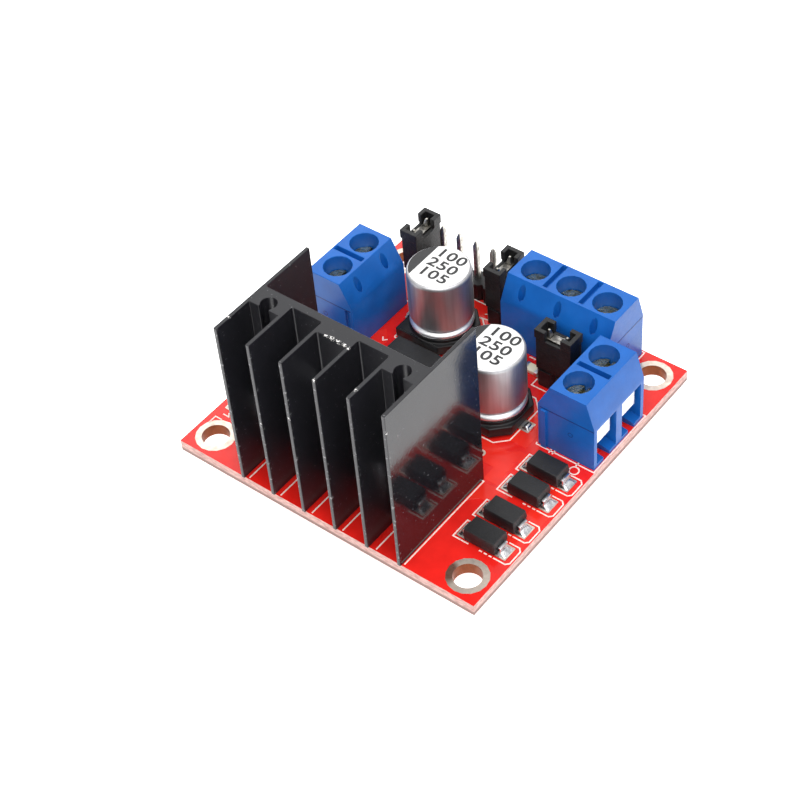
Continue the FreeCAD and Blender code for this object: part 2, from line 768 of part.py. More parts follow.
def make_leaf(side, poles, pole, across, along, turn):
    """The pressure leaf: a bent strip with its lip across the top of the wire entry."""
    leaf = new_body(f"{side}_clamp_leaf_{pole + 1}")
    front = "(block_front - leaf_setback)"
    bend = new_sketch(leaf, "YZ_Plane", "leaf_side")
    draw_polygon(
        bend,
        [
            ("cage_gap - cage_depth / 2", "leaf_lift"),
            (front, "leaf_lift"),
            (front, "entry_ceiling - cage_gap"),
            (f"{front} - leaf_thickness", "entry_ceiling - cage_gap"),
            (f"{front} - leaf_thickness", "leaf_lift + leaf_thickness"),
            ("cage_gap - cage_depth / 2", "leaf_lift + leaf_thickness"),
        ],
    )
    pad(leaf, bend, "leaf", "leaf_width", "both")
    place_pole(leaf, poles, pole, across, along, turn)


def make_screw(side, poles, pole, across, along, turn):
    screw = new_body(f"{side}_terminal_screw_{pole + 1}")
    tip = "(leaf_lift + leaf_thickness + screw_fit)"
    top = "(screw_head_lift + screw_head_height)"
    head = new_sketch(screw, "XY_Plane", "head_outline", "screw_head_lift")
    draw_circle(head, "0", "0", "well_radius - screw_head_gap")
    pad(screw, head, "head", "screw_head_height")
    shank = new_sketch(screw, "XY_Plane", "shank_outline", tip)
    draw_round(shank, "0", "0", "screw_radius", SHANK_SIDES)
    pad(screw, shank, "shank", f"screw_head_lift - {tip}")
    slot = new_sketch(screw, "XY_Plane", "driver_slot", top)
    draw_block(slot, "0", "0", "well_radius", "driver_slot_width / 2")
    pocket(screw, slot, "slot", "driver_slot_depth", "back")
    place_pole(screw, poles, pole, across, along, turn)


def place_pole(body, poles, pole, across, along, turn):
    step = pole_offset(poles, pole)
    if turn == 90:
        place(body, across, f"{along} + {step}", "board_thickness", turn)
    elif turn == -90:
        place(body, across, f"{along} - {step}", "board_thickness", turn)
    else:
        place(body, f"{across} + {step}", along, "board_thickness", turn)


for side, (poles, across, along, turn) in BLOCKS.items():
    make_housing(side, poles, across, along, turn)
    make_contacts(side, poles, across, along, turn)
    for pole in range(poles):
        make_leaf(side, poles, pole, across, along, turn)
        make_screw(side, poles, pole, across, along, turn)


# Electrolytic capacitors: a drawn can crimped over a moulded base, with two flat leads
def make_capacitor(where, across, along):
    can = new_body(f"{where}_capacitor_can")
    profile = new_sketch(can, "XZ_Plane", "can_profile")
    neck = "can_radius - can_groove_depth"
    groove_foot = "can_lift + can_bead_height"
    draw_polygon(
        profile,
        [
            ("0", "can_lift"),
            ("can_radius", "can_lift"),
            ("can_radius", groove_foot),
            (neck, f"{groove_foot} + can_groove_height / 2"),
            ("can_radius", f"{groove_foot} + can_groove_height"),
            ("can_radius", "can_height - can_round"),
            ("can_radius - can_round", "can_height"),
            ("0", "can_height"),
        ],
    )
    revolve(can, profile, "drawn_can")
    place(can, across, along, "board_thickness")

    base = new_body(f"{where}_capacitor_base")
    half = "can_base_side / 2"
    plinth = new_sketch(base, "XY_Plane", "plinth_outline", "can_lead_thickness")
    draw_polygon(
        plinth,
        [
            (f"-{half}", f"-{half}"),
            (f"{half} - can_base_chamfer", f"-{half}"),
            (half, f"can_base_chamfer - {half}"),
            (half, f"{half} - can_base_chamfer"),
            (f"{half} - can_base_chamfer", half),
            (f"-{half}", half),
        ],
    )
    pad(base, plinth, "plinth", "can_lift - can_base_step - can_lead_thickness")
    collar = new_sketch(base, "XY_Plane", "collar_outline", "can_lead_thickness")
    draw_round(collar, "0", "0", "can_radius", COLLAR_SIDES)
    pad(base, collar, "collar", "can_lift - can_lead_thickness")
    place(base, across, along, "board_thickness")

    tabs = new_body(f"{where}_capacitor_leads")
    tab_plan = new_sketch(tabs, "XY_Plane", "lead_plan")
    for way in (-1, 1):
        draw_block(
            tab_plan, f"{way} * ({half} + can_lead_reach / 2 - can_base_chamfer / 2)", "0",
            "(can_lead_reach + can_base_chamfer) / 2", "can_lead_width / 2",
        )
    pad(tabs, tab_plan, "leads", "can_lead_thickness")
    place(tabs, across, along, "board_thickness")


make_capacitor("front", "front_can_x", "front_can_y")
make_capacitor("rear", "rear_can_x", "rear_can_y")


# Pin headers: square pins through moulded strips with notches between the ways
def draw_strip_way(sketch, across, along):
    half = "strip_width / 2"
    draw_polygon(
        sketch,
        [
            (f"{across} - {half}", f"{along} + strip_notch - {half}"),
            (f"{across} + strip_notch - {half}", f"{along} - {half}"),
            (f"{across} - strip_notch + {half}", f"{along} - {half}"),
            (f"{across} + {half}", f"{along} + strip_notch - {half}"),
            (f"{across} + {half}", f"{along} - strip_notch + {half}"),
            (f"{across} - strip_notch + {half}", f"{along} + {half}"),
            (f"{across} + strip_notch - {half}", f"{along} + {half}"),
            (f"{across} - {half}", f"{along} - strip_notch + {half}"),
        ],
    )


def make_header(name, spots, joined):
    base = new_body(f"{name}_header_base")
    ways = new_sketch(base, "XY_Plane", "way_outlines")
    for across, along in spots:
        draw_strip_way(ways, across, along)
    pad(base, ways, "ways", "strip_height")
    if joined:
        bridge = new_sketch(base, "XY_Plane", "bridge_outline")
        (first_x, first_y), (last_x, _) = spots[0], spots[-1]
        draw_rectangle(
            bridge, first_x, last_x,
            f"{first_y} + strip_notch - strip_width / 2", f"{first_y} - strip_notch + strip_width / 2",
        )
        pad(base, bridge, "bridge", "strip_height")
    passages = new_sketch(base, "XY_Plane", "pin_passages_outline")
    for across, along in spots:
        draw_block(passages, across, along, "pin_side / 2", "pin_side / 2")
    pocket(base, passages, "pin_passages", "strip_height")
    place(base, up="board_thickness")

    pins = new_body(f"{name}_header_pins")
    sections = new_sketch(pins, "XY_Plane", "pin_sections", "-tail_length")
    for across, along in spots:
        draw_block(sections, across, along, "pin_side / 2", "pin_side / 2")
    pad(pins, sections, "pins", "tail_length + board_thickness + strip_height + pin_rise")


CONTROL_SPOTS = [
    (f"(control_row_x + {pin} * pin_pitch)", "control_row_y")
    for pin in range(round(size_of("control_pin_count")))
]
make_header("control", CONTROL_SPOTS, True)
make_header("enable", [(column, ENABLE_ROW) for column in ENABLE_COLUMNS], False)
SUPPLY_SPOTS = [(f"(supply_pair_x + {pin} * pin_pitch)", "supply_pair_y") for pin in range(2)]
make_header("supply", SUPPLY_SPOTS, True)


# Jumper caps, in their own frame: x along the pair of pins, z up from the strip
def make_jumper(name, across, along, turn):
    cap = new_body(f"{name}_jumper_cap")
    shell = new_sketch(cap, "XY_Plane", "shell_outline")
    draw_block(shell, "0", "0", "cap_length / 2", "cap_width / 2")
    pad(cap, shell, "shell", "cap_height")
    rim = new_sketch(cap, "XY_Plane", "rim_outline", "cap_height - cap_rim_height")
    draw_block(rim, "0", "0", "cap_length / 2 + cap_rim", "cap_width / 2 + cap_rim")
    pad(cap, rim, "rim", "cap_rim_height")
    cavity = new_sketch(cap, "XY_Plane", "cavity_outline")
    draw_block(cavity, "0", "0", "cap_length / 2 - cap_wall", "cap_width / 2 - cap_wall")
    pocket(cap, cavity, "cavity", "cap_height")
    notch = new_sketch(cap, "XZ_Plane", "notch_outline")
    draw_rectangle(
        notch, "-cap_notch_width / 2", "cap_notch_width / 2", "cap_height - cap_notch_depth",
        "cap_height + cap_notch_depth",
    )
    pocket(cap, notch, "notches", "cap_length", "both")

    clip = new_body(f"{name}_jumper_clip")
    sheets = new_sketch(clip, "XY_Plane", "sheet_sections", "clip_lift")
    for way in (-1, 1):
        draw_block(
            sheets, "0", f"{way} * (pin_side / 2 + clip_fit + clip_sheet / 2)",
            "clip_length / 2", "clip_sheet / 2",
        )
    pad(clip, sheets, "sheets", "clip_height - clip_lift")
    fold = new_sketch(clip, "XY_Plane", "fold_section", "clip_height - clip_sheet")
    draw_block(
        fold, "0", "0", "pin_pitch / 2 - pin_side / 2 - 2 * clip_fit",
        "pin_side / 2 + clip_fit + clip_sheet / 2",
    )
    pad(clip, fold, "fold", "clip_sheet")
    for piece in (cap, clip):
        place(piece, across, along, "board_thickness + strip_height + cap_seat_gap", turn)


ENABLE_MIDDLE = "(control_row_y - pin_pitch / 2)"
make_jumper("left_enable", ENABLE_COLUMNS[0], ENABLE_MIDDLE, 90)
make_jumper("right_enable", ENABLE_COLUMNS[1], ENABLE_MIDDLE, 90)
make_jumper("supply", "supply_pair_x + pin_pitch / 2", "supply_pair_y", 0)

# Diodes: two rows of four, along the board's left and right edges
DIODE_SPOTS = ["diode_1_y", "diode_2_y", "diode_3_y", "diode_4_y"]


def make_diode_row(side, way):
    across = f"{way} * diode_x"
    middle = "(diode_lift + diode_height / 2)"
    bodies = new_body(f"{side}_diode_bodies")
    for name, heading in (("upper", "forward"), ("lower", "back")):
        waist = new_sketch(bodies, "XY_Plane", f"{name}_waist", middle)
        for along in DIODE_SPOTS:
            draw_block(waist, across, along, "diode_length / 2", "diode_width / 2")
        pad(bodies, waist, f"{name}_half", "diode_height / 2", heading, "-diode_draft")
    place(bodies, up="board_thickness")

    leads = new_body(f"{side}_diode_leads")
    end = "diode_length / 2"
    reach = f"{end} + diode_lead_reach"
    sheet_half = "diode_lead_thickness / 2"
    for spot, along in enumerate(DIODE_SPOTS, start=1):
        profile = new_sketch(leads, "XZ_Plane", f"lead_profile_{spot}", f"-{along}")
        for end_way in (-1, 1):
            corners = [
                (end, f"{middle} - {sheet_half}"),
                (end, f"{middle} + {sheet_half}"),
                (reach, f"{middle} + {sheet_half}"),
                (reach, "0"),
                (f"{reach} - diode_lead_foot", "0"),
                (f"{reach} - diode_lead_foot", "diode_lift"),
                (f"{reach} - diode_lead_thickness", "diode_lift"),
                (f"{reach} - diode_lead_thickness", f"{middle} - {sheet_half}"),
            ]
            draw_polygon(profile, [(f"{across} + {end_way} * ({x})", z) for x, z in corners])
        pad(leads, profile, f"lead_pair_{spot}", "diode_lead_width", "both")
    place(leads, up="board_thickness")


make_diode_row("right", 1)
make_diode_row("left", -1)

# Voltage regulator lying flat: a moulded block, a tab towards the rear and leads towards the heat sink
regulator = new_body("regulator_body")
block = new_sketch(regulator, "XY_Plane", "regulator_outline")
draw_block(block, "0", "0", "regulator_length / 2", "regulator_depth / 2")
pad(regulator, block, "moulding", "regulator_height")
seat = new_sketch(regulator, "XY_Plane", "slug_recess")
draw_rectangle(
    seat, "-regulator_tab_width / 2", "regulator_tab_width / 2", "-regulator_depth / 2", "regulator_depth / 4"
)
pocket(regulator, seat, "slug_seat", "regulator_sheet")
place(regulator, "regulator_x", "regulator_y", "board_thickness", 180)

slug = new_body("regulator_tab")
slug_plan = new_sketch(slug, "XY_Plane", "slug_plan")
draw_rectangle(
    slug_plan, "-regulator_tab_width / 2", "regulator_tab_width / 2",
    "-regulator_depth / 2 - regulator_tab_reach", "regulator_depth / 4",
)
pad(slug, slug_plan, "slug", "regulator_sheet")
legs = new_sketch(slug, "XY_Plane", "leg_plan")
for way in (-1, 1):
    draw_block(
        legs, f"{way} * regulator_lead_pitch", "(regulator_depth + regulator_lead_reach) / 2",
        "regulator_lead_width / 2", "regulator_lead_reach / 2",
    )
pad(slug, legs, "legs", "regulator_sheet")
place(slug, "regulator_x", "regulator_y", "board_thickness", 180)


# Small chips: resistors, ceramic capacitors and the power lamp
def make_chips(label, across, along, count, height):
    chips = new_body(label)
    plan = new_sketch(chips, "XY_Plane", "chip_plan")
    for chip in range(count):
        draw_block(plan, across, f"{along} + {chip} * chip_pitch", "chip_length / 2", "chip_width / 2")
    pad(chips, plan, "chips", height)
    place(chips, up="board_thickness")


make_chips("chip_resistors", "resistor_x", "resistor_y", 4, "resistor_height")
make_chips("chip_capacitors", "ceramic_x", "ceramic_y", 1, "capacitor_height")
make_chips("power_led", "led_x", "led_y", 1, "resistor_height")

doc.recompute()

for thing in doc.Objects:
    if "Invalid" in thing.State or "Error" in thing.State:
        raise RuntimeError(f"{thing.Name} failed: {thing.State}")
    if thing.TypeId == "PartDesign::Pocket":
        if thing.Shape.Volume > thing.BaseFeature.Shape.Volume - 1e-6:
            raise RuntimeError(f"{thing.Name} in {thing.getParentGeoFeatureGroup().Label} cuts nothing")
os.makedirs("parts", exist_ok=True)
for node in nodes:
    if node.Shape.isNull() or not node.Shape.isValid() or not node.Shape.Solids:
        raise RuntimeError(f"{node.Label} has no valid solid")
for node in nodes:
    node.Shape.exportStep(f"parts/{node.Label}.step")
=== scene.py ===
import fnmatch
import math
import bpy
from mathutils import Matrix, Vector


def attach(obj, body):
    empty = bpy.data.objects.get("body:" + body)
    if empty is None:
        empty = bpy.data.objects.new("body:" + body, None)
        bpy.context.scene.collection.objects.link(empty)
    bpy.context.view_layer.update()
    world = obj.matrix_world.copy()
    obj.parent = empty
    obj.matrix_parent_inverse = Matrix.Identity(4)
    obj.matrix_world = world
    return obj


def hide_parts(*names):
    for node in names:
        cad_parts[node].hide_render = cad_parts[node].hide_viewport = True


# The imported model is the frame: everything below sits in its coordinates, in metres.
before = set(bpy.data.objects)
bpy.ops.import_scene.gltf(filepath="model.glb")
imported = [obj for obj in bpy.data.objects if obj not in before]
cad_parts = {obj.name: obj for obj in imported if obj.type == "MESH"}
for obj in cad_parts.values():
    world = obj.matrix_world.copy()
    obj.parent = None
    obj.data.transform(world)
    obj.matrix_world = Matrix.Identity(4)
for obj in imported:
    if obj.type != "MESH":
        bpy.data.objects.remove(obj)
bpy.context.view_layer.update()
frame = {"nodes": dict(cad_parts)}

# Circuit board: a 43 mm square of 1.6 mm glass-fibre epoxy laminate, drilled and then sawn out of
# its panel. Both faces carry a screened and cured red solder mask, and the sawn edge shows the fibre.
MM = 0.001
BOARD_TOP = 1.6
# Walls nearer the centre than this belong to drilled holes, and walls further out were sawn.
DRILLED_WITHIN, SAWN_BEYOND = 20.4, 20.9


def linear(hex_colour):
    """The linear colour, with its alpha, of an sRGB hex value."""
    parts = [int(hex_colour[place:place + 2], 16) / 255 for place in (1, 3, 5)]
    parts = [part / 12.92 if part <= 0.04045 else ((part + 0.055) / 1.055) ** 2.4 for part in parts]
    return (*parts, 1.0)


def add_node(tree, kind, inputs=None, **settings):
    """Adds a node. An input is a number, a hex colour, a socket, or a node for its first live output."""
    node = tree.nodes.new("ShaderNode" + kind)
    for name, value in settings.items():
        setattr(node, name, value)
    for name, value in (inputs or {}).items():
        socket = node.inputs[name]
        if isinstance(value, bpy.types.Node):
            value = next(output for output in value.outputs if output.enabled)
        if isinstance(value, bpy.types.NodeSocket):
            tree.links.new(value, socket)
        else:
            socket.default_value = linear(value) if isinstance(value, str) else value
    return node


def new_material(name):
    """An empty material, its node tree and the coordinates that its patterns are laid out in."""
    material = bpy.data.materials.new(name)
    material.use_nodes = True
    tree = material.node_tree
    tree.nodes.clear()
    return material, tree, add_node(tree, "TexCoord")


def grain(size_mm):
    """The noise scale that gives patches of about this size."""
    return 1 / (size_mm * MM)


def solder_mask(name, light, deep, sawn):
    """Liquid photo-imaged epoxy mask, cured glossy: saturated red, a soft mirror with a slight orange peel.
    Where the board was sawn or drilled it shows pale glass fibre, and brown resin inside the holes.
    The orange peel is drawn at 0.38 mm so that it shows."""
    material, tree, place = new_material(name)
    at = place.outputs["Object"]
    clouds = add_node(tree, "TexNoise", {"Vector": at, "Scale": grain(3.8), "Detail": 3.0})
    share = add_node(tree, "MapRange", {"Value": clouds, 1: 0.35, 2: 0.65})
    colour = add_node(tree, "Mix", {0: share, 6: light, 7: deep}, data_type="RGBA")
    roughness = 0.16
    if sawn:
        normal = add_node(tree, "SeparateXYZ", {0: place.outputs["Normal"]})
        level = add_node(tree, "Math", {0: normal.outputs["Z"]}, operation="ABSOLUTE")
        upright = add_node(tree, "MapRange", {"Value": level, 1: 0.6, 2: 0.4})
        weave = add_node(tree, "Mapping", {"Vector": at, "Scale": (1.0, 1.0, 4.0)})
        strands = add_node(tree, "TexNoise", {"Vector": weave, "Scale": grain(0.7), "Detail": 4.0})
        fibres = add_node(tree, "MapRange", {"Value": strands, 1: 0.35, 2: 0.7})
        laminate = add_node(tree, "Mix", {0: fibres, 6: "#EBC4BB", 7: "#B98A82"}, data_type="RGBA")
        height = add_node(tree, "SeparateXYZ", {0: at})
        low_band = add_node(tree, "MapRange", {"Value": height.outputs["Z"], 1: 0.65 * MM, 2: 0.4 * MM})
        laminate = add_node(tree, "Mix", {0: low_band, 6: laminate, 7: "#93766E"}, data_type="RGBA")
        flat = add_node(tree, "Mapping", {"Vector": at, "Scale": (1.0, 1.0, 0.0)})
        from_centre = add_node(tree, "VectorMath", {0: flat}, operation="LENGTH")
        drilled = add_node(tree, "MapRange", {
            "Value": from_centre, 1: SAWN_BEYOND * MM, 2: DRILLED_WITHIN * MM,
        })
        laminate = add_node(tree, "Mix", {0: drilled, 6: laminate, 7: "#8A5B3A"}, data_type="RGBA")
        colour = add_node(tree, "Mix", {0: upright, 6: colour, 7: laminate}, data_type="RGBA")
        roughness = add_node(tree, "MapRange", {"Value": upright, 3: 0.15, 4: 0.6})
    swell = add_node(tree, "TexNoise", {"Vector": at, "Scale": grain(2.4)})
    ripple = add_node(tree, "Bump", {"Height": swell, "Strength": 0.25, "Distance": 0.06 * MM})
    peel = add_node(tree, "TexNoise", {"Vector": at, "Scale": grain(0.38)})
    skin = add_node(tree, "Bump", {"Height": peel, "Strength": 0.06, "Distance": 0.03 * MM, "Normal": ripple})
    shader = add_node(tree, "BsdfPrincipled", {
        "Base Color": colour, "Roughness": roughness, "IOR": 1.46, "Normal": skin,
    })
    add_node(tree, "OutputMaterial", {"Surface": shader})
    return material


# The CAD node's loose triangles are joined and its flats made whole before an edge is rounded.
WELD_GAP = 0.002
FLAT_ANGLE, SHARP_ANGLE = math.radians(1), math.radians(32)


def dress(pattern, material, edge=0.0):
    """Gives the CAD nodes named so a finish. An edge joins their faces and rounds the sharp edges by it."""
    for node in fnmatch.filter(frame["nodes"], pattern):
        piece = frame["nodes"][node]
        for place in piece.material_slots:
            place.material = material
        if edge:
            weld = piece.modifiers.new("joined", "WELD")
            weld.merge_threshold = WELD_GAP * MM
            flats = piece.modifiers.new("flats", "DECIMATE")
            flats.decimate_type = "DISSOLVE"
            flats.angle_limit = FLAT_ANGLE
            rounding = piece.modifiers.new("rounded", "BEVEL")
            rounding.width = edge * MM
            rounding.segments = 2
            rounding.limit_method = "ANGLE"
            rounding.angle_limit = SHARP_ANGLE
            rounding.use_clamp_overlap = True
            shading = piece.modifiers.new("even", "WEIGHTED_NORMAL")
            shading.keep_sharp = False


dress("circuit_board", solder_mask("red_solder_mask", "#EA241D", "#D61D17", True), 0.03)

# Copper tracks: etched from 35 micron foil under the mask, on both faces. They show only as low
# ridges in the gloss, a little lighter where the mask is thinner over them.
COPPER_MASK = solder_mask("mask_over_copper", "#EE3022", "#DE261A", False)
# Each track stands a step higher than the one before it, so that no two faces coincide.
COPPER_BITE, COPPER_RISE, UNDER_RISE, COPPER_STEP = 0.01, 0.025, 0.03, 0.001
TOP_TRACKS = [
    (2.2, [(9.0, -8.7), (11.4, -8.7), (12.6, -7.6), (14.4, -7.4)]),
    (1.8, [(9.2, -3.15), (12.4, -3.15), (12.4, -5.2), (14.2, -5.2)]),
    (1.6, [(6.4, -3.9), (6.4, -1.9), (12.0, -1.9), (12.9, -1.1), (14.3, -1.1)]),
    (2.6, [(11.6, 0.4), (11.6, 6.5), (13.2, 7.9), (15.6, 7.9)]),
    (2.4, [(19.9, -13.4), (19.9, -0.9)]),
    (1.6, [(1.3, -3.9), (1.3, 3.2), (3.4, 5.4), (3.4, 8.6)]),
    (0.4, [(-1.3, -3.9), (-1.3, 8.6), (-4.4, 12.2), (-4.4, 18.2)]),
    (0.4, [(-2.1, 7.0), (-2.1, 13.4), (-7.3, 17.2), (-7.3, 18.2)]),
    (0.4, [(3.8, 13.2), (0.3, 15.4), (-2.2, 17.6)]),
    (2.2, [(-9.0, -8.7), (-11.4, -8.7), (-12.6, -7.6), (-14.4, -7.4)]),
    (1.8, [(-9.2, -3.15), (-12.4, -3.15), (-12.4, -5.2), (-14.2, -5.2)]),
    (2.4, [(-19.9, -13.4), (-19.9, -0.9)]),
    (2.0, [(-12.4, 1.0), (-12.4, 5.0), (-13.6, 6.4)]),
    (1.4, [(11.0, 13.2), (11.0, 15.0)]),
]
UNDER_TRACKS = [
    (2.4, [(-17.4, 4.5), (-17.4, -14.0), (-8.9, -14.0), (-8.9, -9.0)]),
    (2.4, [(17.4, 4.5), (17.4, -14.0), (8.9, -14.0), (8.9, -9.0)]),
    (2.0, [(2.8, 17.1), (2.8, 13.0), (6.3, 9.5), (6.3, 3.3)]),
    (0.5, [(-12.4, 18.7), (-12.4, 12.0), (-8.0, 7.6), (-3.8, -3.9)]),
    (0.5, [(-9.86, 18.7), (-9.86, 13.0), (-6.0, 9.0), (-1.3, -3.9)]),
    (0.5, [(-7.32, 18.7), (-7.32, 14.0), (-4.0, 10.6), (1.3, -3.9)]),
    (0.5, [(-4.78, 18.7), (-4.78, 15.0), (-2.0, 12.0), (3.8, -3.9)]),
    (1.6, [(7.9, 17.1), (7.9, 13.5), (12.5, 9.0), (12.5, -2.0), (10.2, -4.6)]),
]


def line_outline(points, width):
    """The outline of a line of one width along points, with mitred corners and square ends."""
    spots = [Vector(point) for point in points]
    left, right = [], []
    for place, spot in enumerate(spots):
        ways = []
        if place > 0:
            ways.append((spot - spots[place - 1]).normalized())
        if place < len(spots) - 1:
            ways.append((spots[place + 1] - spot).normalized())
        along = sum(ways, Vector((0, 0))).normalized()
        reach = width / 2 / max(along.dot(ways[0]), 0.4)
        across = Vector((-along.y, along.x)) * reach
        left.append(spot + across)
        right.append(spot - across)
    return left + right[::-1]


def flat_shape(outline, low, high, rim=0.012):
    """A filled flat curve between two heights in millimetres, with a chamfered rim."""
    curve = bpy.data.curves.new("flat_shape", "CURVE")
    curve.dimensions = "2D"
    curve.fill_mode = "BOTH"
    curve.bevel_depth = rim * MM
    curve.bevel_resolution = 0
    curve.offset = -rim * MM
    curve.extrude = ((high - low) / 2 - rim) * MM
    spline = curve.splines.new("POLY")
    spline.points.add(len(outline) - 1)
    for point, (x, y) in zip(spline.points, outline):
        point.co = (x * MM, y * MM, 0.0, 1.0)
    spline.use_cyclic_u = True
    shape = bpy.data.objects.new("flat_shape", curve)
    shape.location.z = (low + high) / 2 * MM
    bpy.context.scene.collection.objects.link(shape)
    return shape


def join_as(name, parts, material, body="board", smooth=35.0):
    """Turns the parts into one closed mesh with its place in it, and lets it ride on a body."""
    bpy.ops.object.select_all(action="DESELECT")
    for part in parts:
        part.select_set(True)
    bpy.context.view_layer.objects.active = parts[0]
    if parts[0].type != "MESH":
        bpy.ops.object.convert(target="MESH")
    bpy.ops.object.transform_apply(location=True, rotation=True, scale=True)
    if len(parts) > 1:
        bpy.ops.object.join()
    piece = bpy.context.object
    bpy.ops.object.mode_set(mode="EDIT")
    bpy.ops.mesh.select_all(action="SELECT")
    bpy.ops.mesh.remove_doubles(threshold=0.001 * MM)
    bpy.ops.mesh.normals_make_consistent(inside=False)
    bpy.ops.object.mode_set(mode="OBJECT")
    bpy.ops.object.shade_smooth_by_angle(angle=math.radians(smooth))
    piece.name = name
    piece.data.name = name
    piece.data.materials.clear()
    piece.data.materials.append(material)
    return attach(piece, body)


tracks = []
for order, (width, points) in enumerate(TOP_TRACKS):
    high = BOARD_TOP + COPPER_RISE + COPPER_STEP * order
    tracks.append(flat_shape(line_outline(points, width), BOARD_TOP - COPPER_BITE, high))
join_as("masked_copper_top", tracks, COPPER_MASK)
tracks = []
for order, (width, points) in enumerate(UNDER_TRACKS):
    low = -UNDER_RISE - COPPER_STEP * order
    tracks.append(flat_shape(line_outline(points, width), low, COPPER_BITE))
join_as("masked_copper_under", tracks, COPPER_MASK)

# Tinned lands: copper left bare of mask and levelled with hot-air solder. The four round the screw
# holes are dull, and their plated walls show the copper: a soft warm grey. A brown patch of painted
# shade darkens the left side of the near hole's ring, and the walls' dark copper brown is partly the
# copper's own and partly painted shade of the hole.
RING_PAINTED_SHADE = [((16.6, -19.5, 1.6), 1.5), ((16.2, -18.6, 1.6), 1.1)]


def bare_metal(name, bright, dull, rough, grain_mm, bump, walls=None, shade_spots=()):
    """Bare tin, solder or plate: patches of two tones, rougher where it is dull, in a fine relief.
    Walls take a colour of their own, and each spot of painted shade is a middle and a radius in millimetres.
    The relief is drawn at a third of the patches' size, coarser than the real one, so that it shows."""
    material, tree, place = new_material(name)
    at = place.outputs["Object"]
    patches = add_node(tree, "TexNoise", {"Vector": at, "Scale": grain(grain_mm), "Detail": 4.0})
    share = add_node(tree, "MapRange", {"Value": patches, 1: 0.3, 2: 0.7})
    colour = add_node(tree, "Mix", {0: share, 6: bright, 7: dull}, data_type="RGBA")
    # Each spot is painted shade: a brown patch over the tin where the ring lies in shade.
    for middle, radius in shade_spots:
        spot = tuple(part * MM for part in middle)
        reach = add_node(tree, "VectorMath", {0: at, 1: spot}, operation="DISTANCE")
        painted_shade = add_node(tree, "MapRange", {"Value": reach, 1: radius * MM, 2: radius * 0.4 * MM})
        brown = add_node(tree, "Mix", {0: share, 6: "#A98270", 7: "#7E584C"}, data_type="RGBA")
        colour = add_node(tree, "Mix", {0: painted_shade, 6: colour, 7: brown}, data_type="RGBA")
    roughness = add_node(tree, "MapRange", {"Value": share, 3: rough * 0.75, 4: rough * 1.3})
    if walls:
        normal = add_node(tree, "SeparateXYZ", {0: place.outputs["Normal"]})
        level = add_node(tree, "Math", {0: normal.outputs["Z"]}, operation="ABSOLUTE")
        upright = add_node(tree, "MapRange", {"Value": level, 1: 0.6, 2: 0.4})
        colour = add_node(tree, "Mix", {0: upright, 6: colour, 7: walls}, data_type="RGBA")
    relief = add_node(tree, "TexNoise", {"Vector": at, "Scale": grain(grain_mm / 3), "Detail": 3.0})
    skin = add_node(tree, "Bump", {"Height": relief, "Strength": bump, "Distance": 0.04 * MM})
    shader = add_node(tree, "BsdfPrincipled", {
        "Base Color": colour, "Metallic": 1.0, "Roughness": roughness, "Normal": skin,
    })
    add_node(tree, "OutputMaterial", {"Surface": shader})
    return material


# The brown patch on the near ring and the dark walls are painted shade.
TINNED_LAND = bare_metal(
    "hot_air_levelled_tin", "#F8E9DC", "#D6C6B8", 0.42, 0.7, 0.35, walls="#80492F", shade_spots=RING_PAINTED_SHADE,
)
dress("mounting_hole_plating", TINNED_LAND)

# Plated vias: 0.6 mm holes through the board, each with a thin tinned ring round it. They carry
# current between the faces. The holes are not cut: each ring holds a dark disc of painted shade that
# stands in for the open hole's dark dot.
VIAS = [(9.0, -3.1), (12.6, 9.0), (-2.1, 6.6), (-12.4, 1.6), (1.6, 13.4), (-1.2, 15.6)]
HOLE_SHADE = bare_metal("plated_hole_shade", "#1B1513", "#120E0D", 0.6, 0.4, 0.1)


def pick_faces(test):
    """Selects, in edit mode, only the faces whose centre in millimetres and normal pass a test."""
    bpy.ops.mesh.select_mode(type="FACE")
    bpy.ops.mesh.select_all(action="DESELECT")
    bpy.ops.object.mode_set(mode="OBJECT")
    for face in bpy.context.object.data.polygons:
        face.select = test(face.center / MM, face.normal)
    bpy.ops.object.mode_set(mode="EDIT")


def copy_of(model, across, along, turn=0.0):
    """A copy with its own mesh, turned about the upright axis and moved, in millimetres."""
    copy = model.copy()
    copy.data = model.data.copy()
    move = Matrix.Translation((across * MM, along * MM, 0.0))
    copy.data.transform(move @ Matrix.Rotation(math.radians(turn), 4, "Z"))
    bpy.context.scene.collection.objects.link(copy)
    return copy


def copies_of(model, spots):
    """Copies of a model at each spot of (x, y) or (x, y, turn). The model itself is then taken away."""
    copies = [copy_of(model, *spot) for spot in spots]
    bpy.data.objects.remove(model)
    return copies


def add_well(radius, thickness, lift, rim, sink):
    """A thin round disc at the origin whose top is sunk inside a rim, its middle lifted off the board."""
    bpy.ops.object.select_all(action="DESELECT")
    middle = (0, 0, (BOARD_TOP + lift) * MM)
    bpy.ops.mesh.primitive_cylinder_add(
        vertices=20, radius=radius * MM, depth=thickness * MM, location=middle,
    )
    bpy.ops.object.transform_apply(location=True, rotation=True, scale=True)
    bpy.ops.object.mode_set(mode="EDIT")
    pick_faces(lambda centre, normal: normal.z > 0.9)
    bpy.ops.mesh.inset(thickness=rim * MM)
    bpy.ops.mesh.extrude_region_move(TRANSFORM_OT_translate={"value": (0, 0, -sink * MM)})
    bpy.ops.object.mode_set(mode="OBJECT")
    return bpy.context.object


ring = add_well(0.56, 0.04, 0.025, rim=0.25, sink=0.03)
join_as("via_rings", copies_of(ring, VIAS), TINNED_LAND)
# A dark disc of painted shade stands in for each open hole.
hole = add_well(0.3, 0.02, 0.02, rim=0.05, sink=0.012)
join_as("via_hole_painted_shade", copies_of(hole, VIAS), HOLE_SHADE)

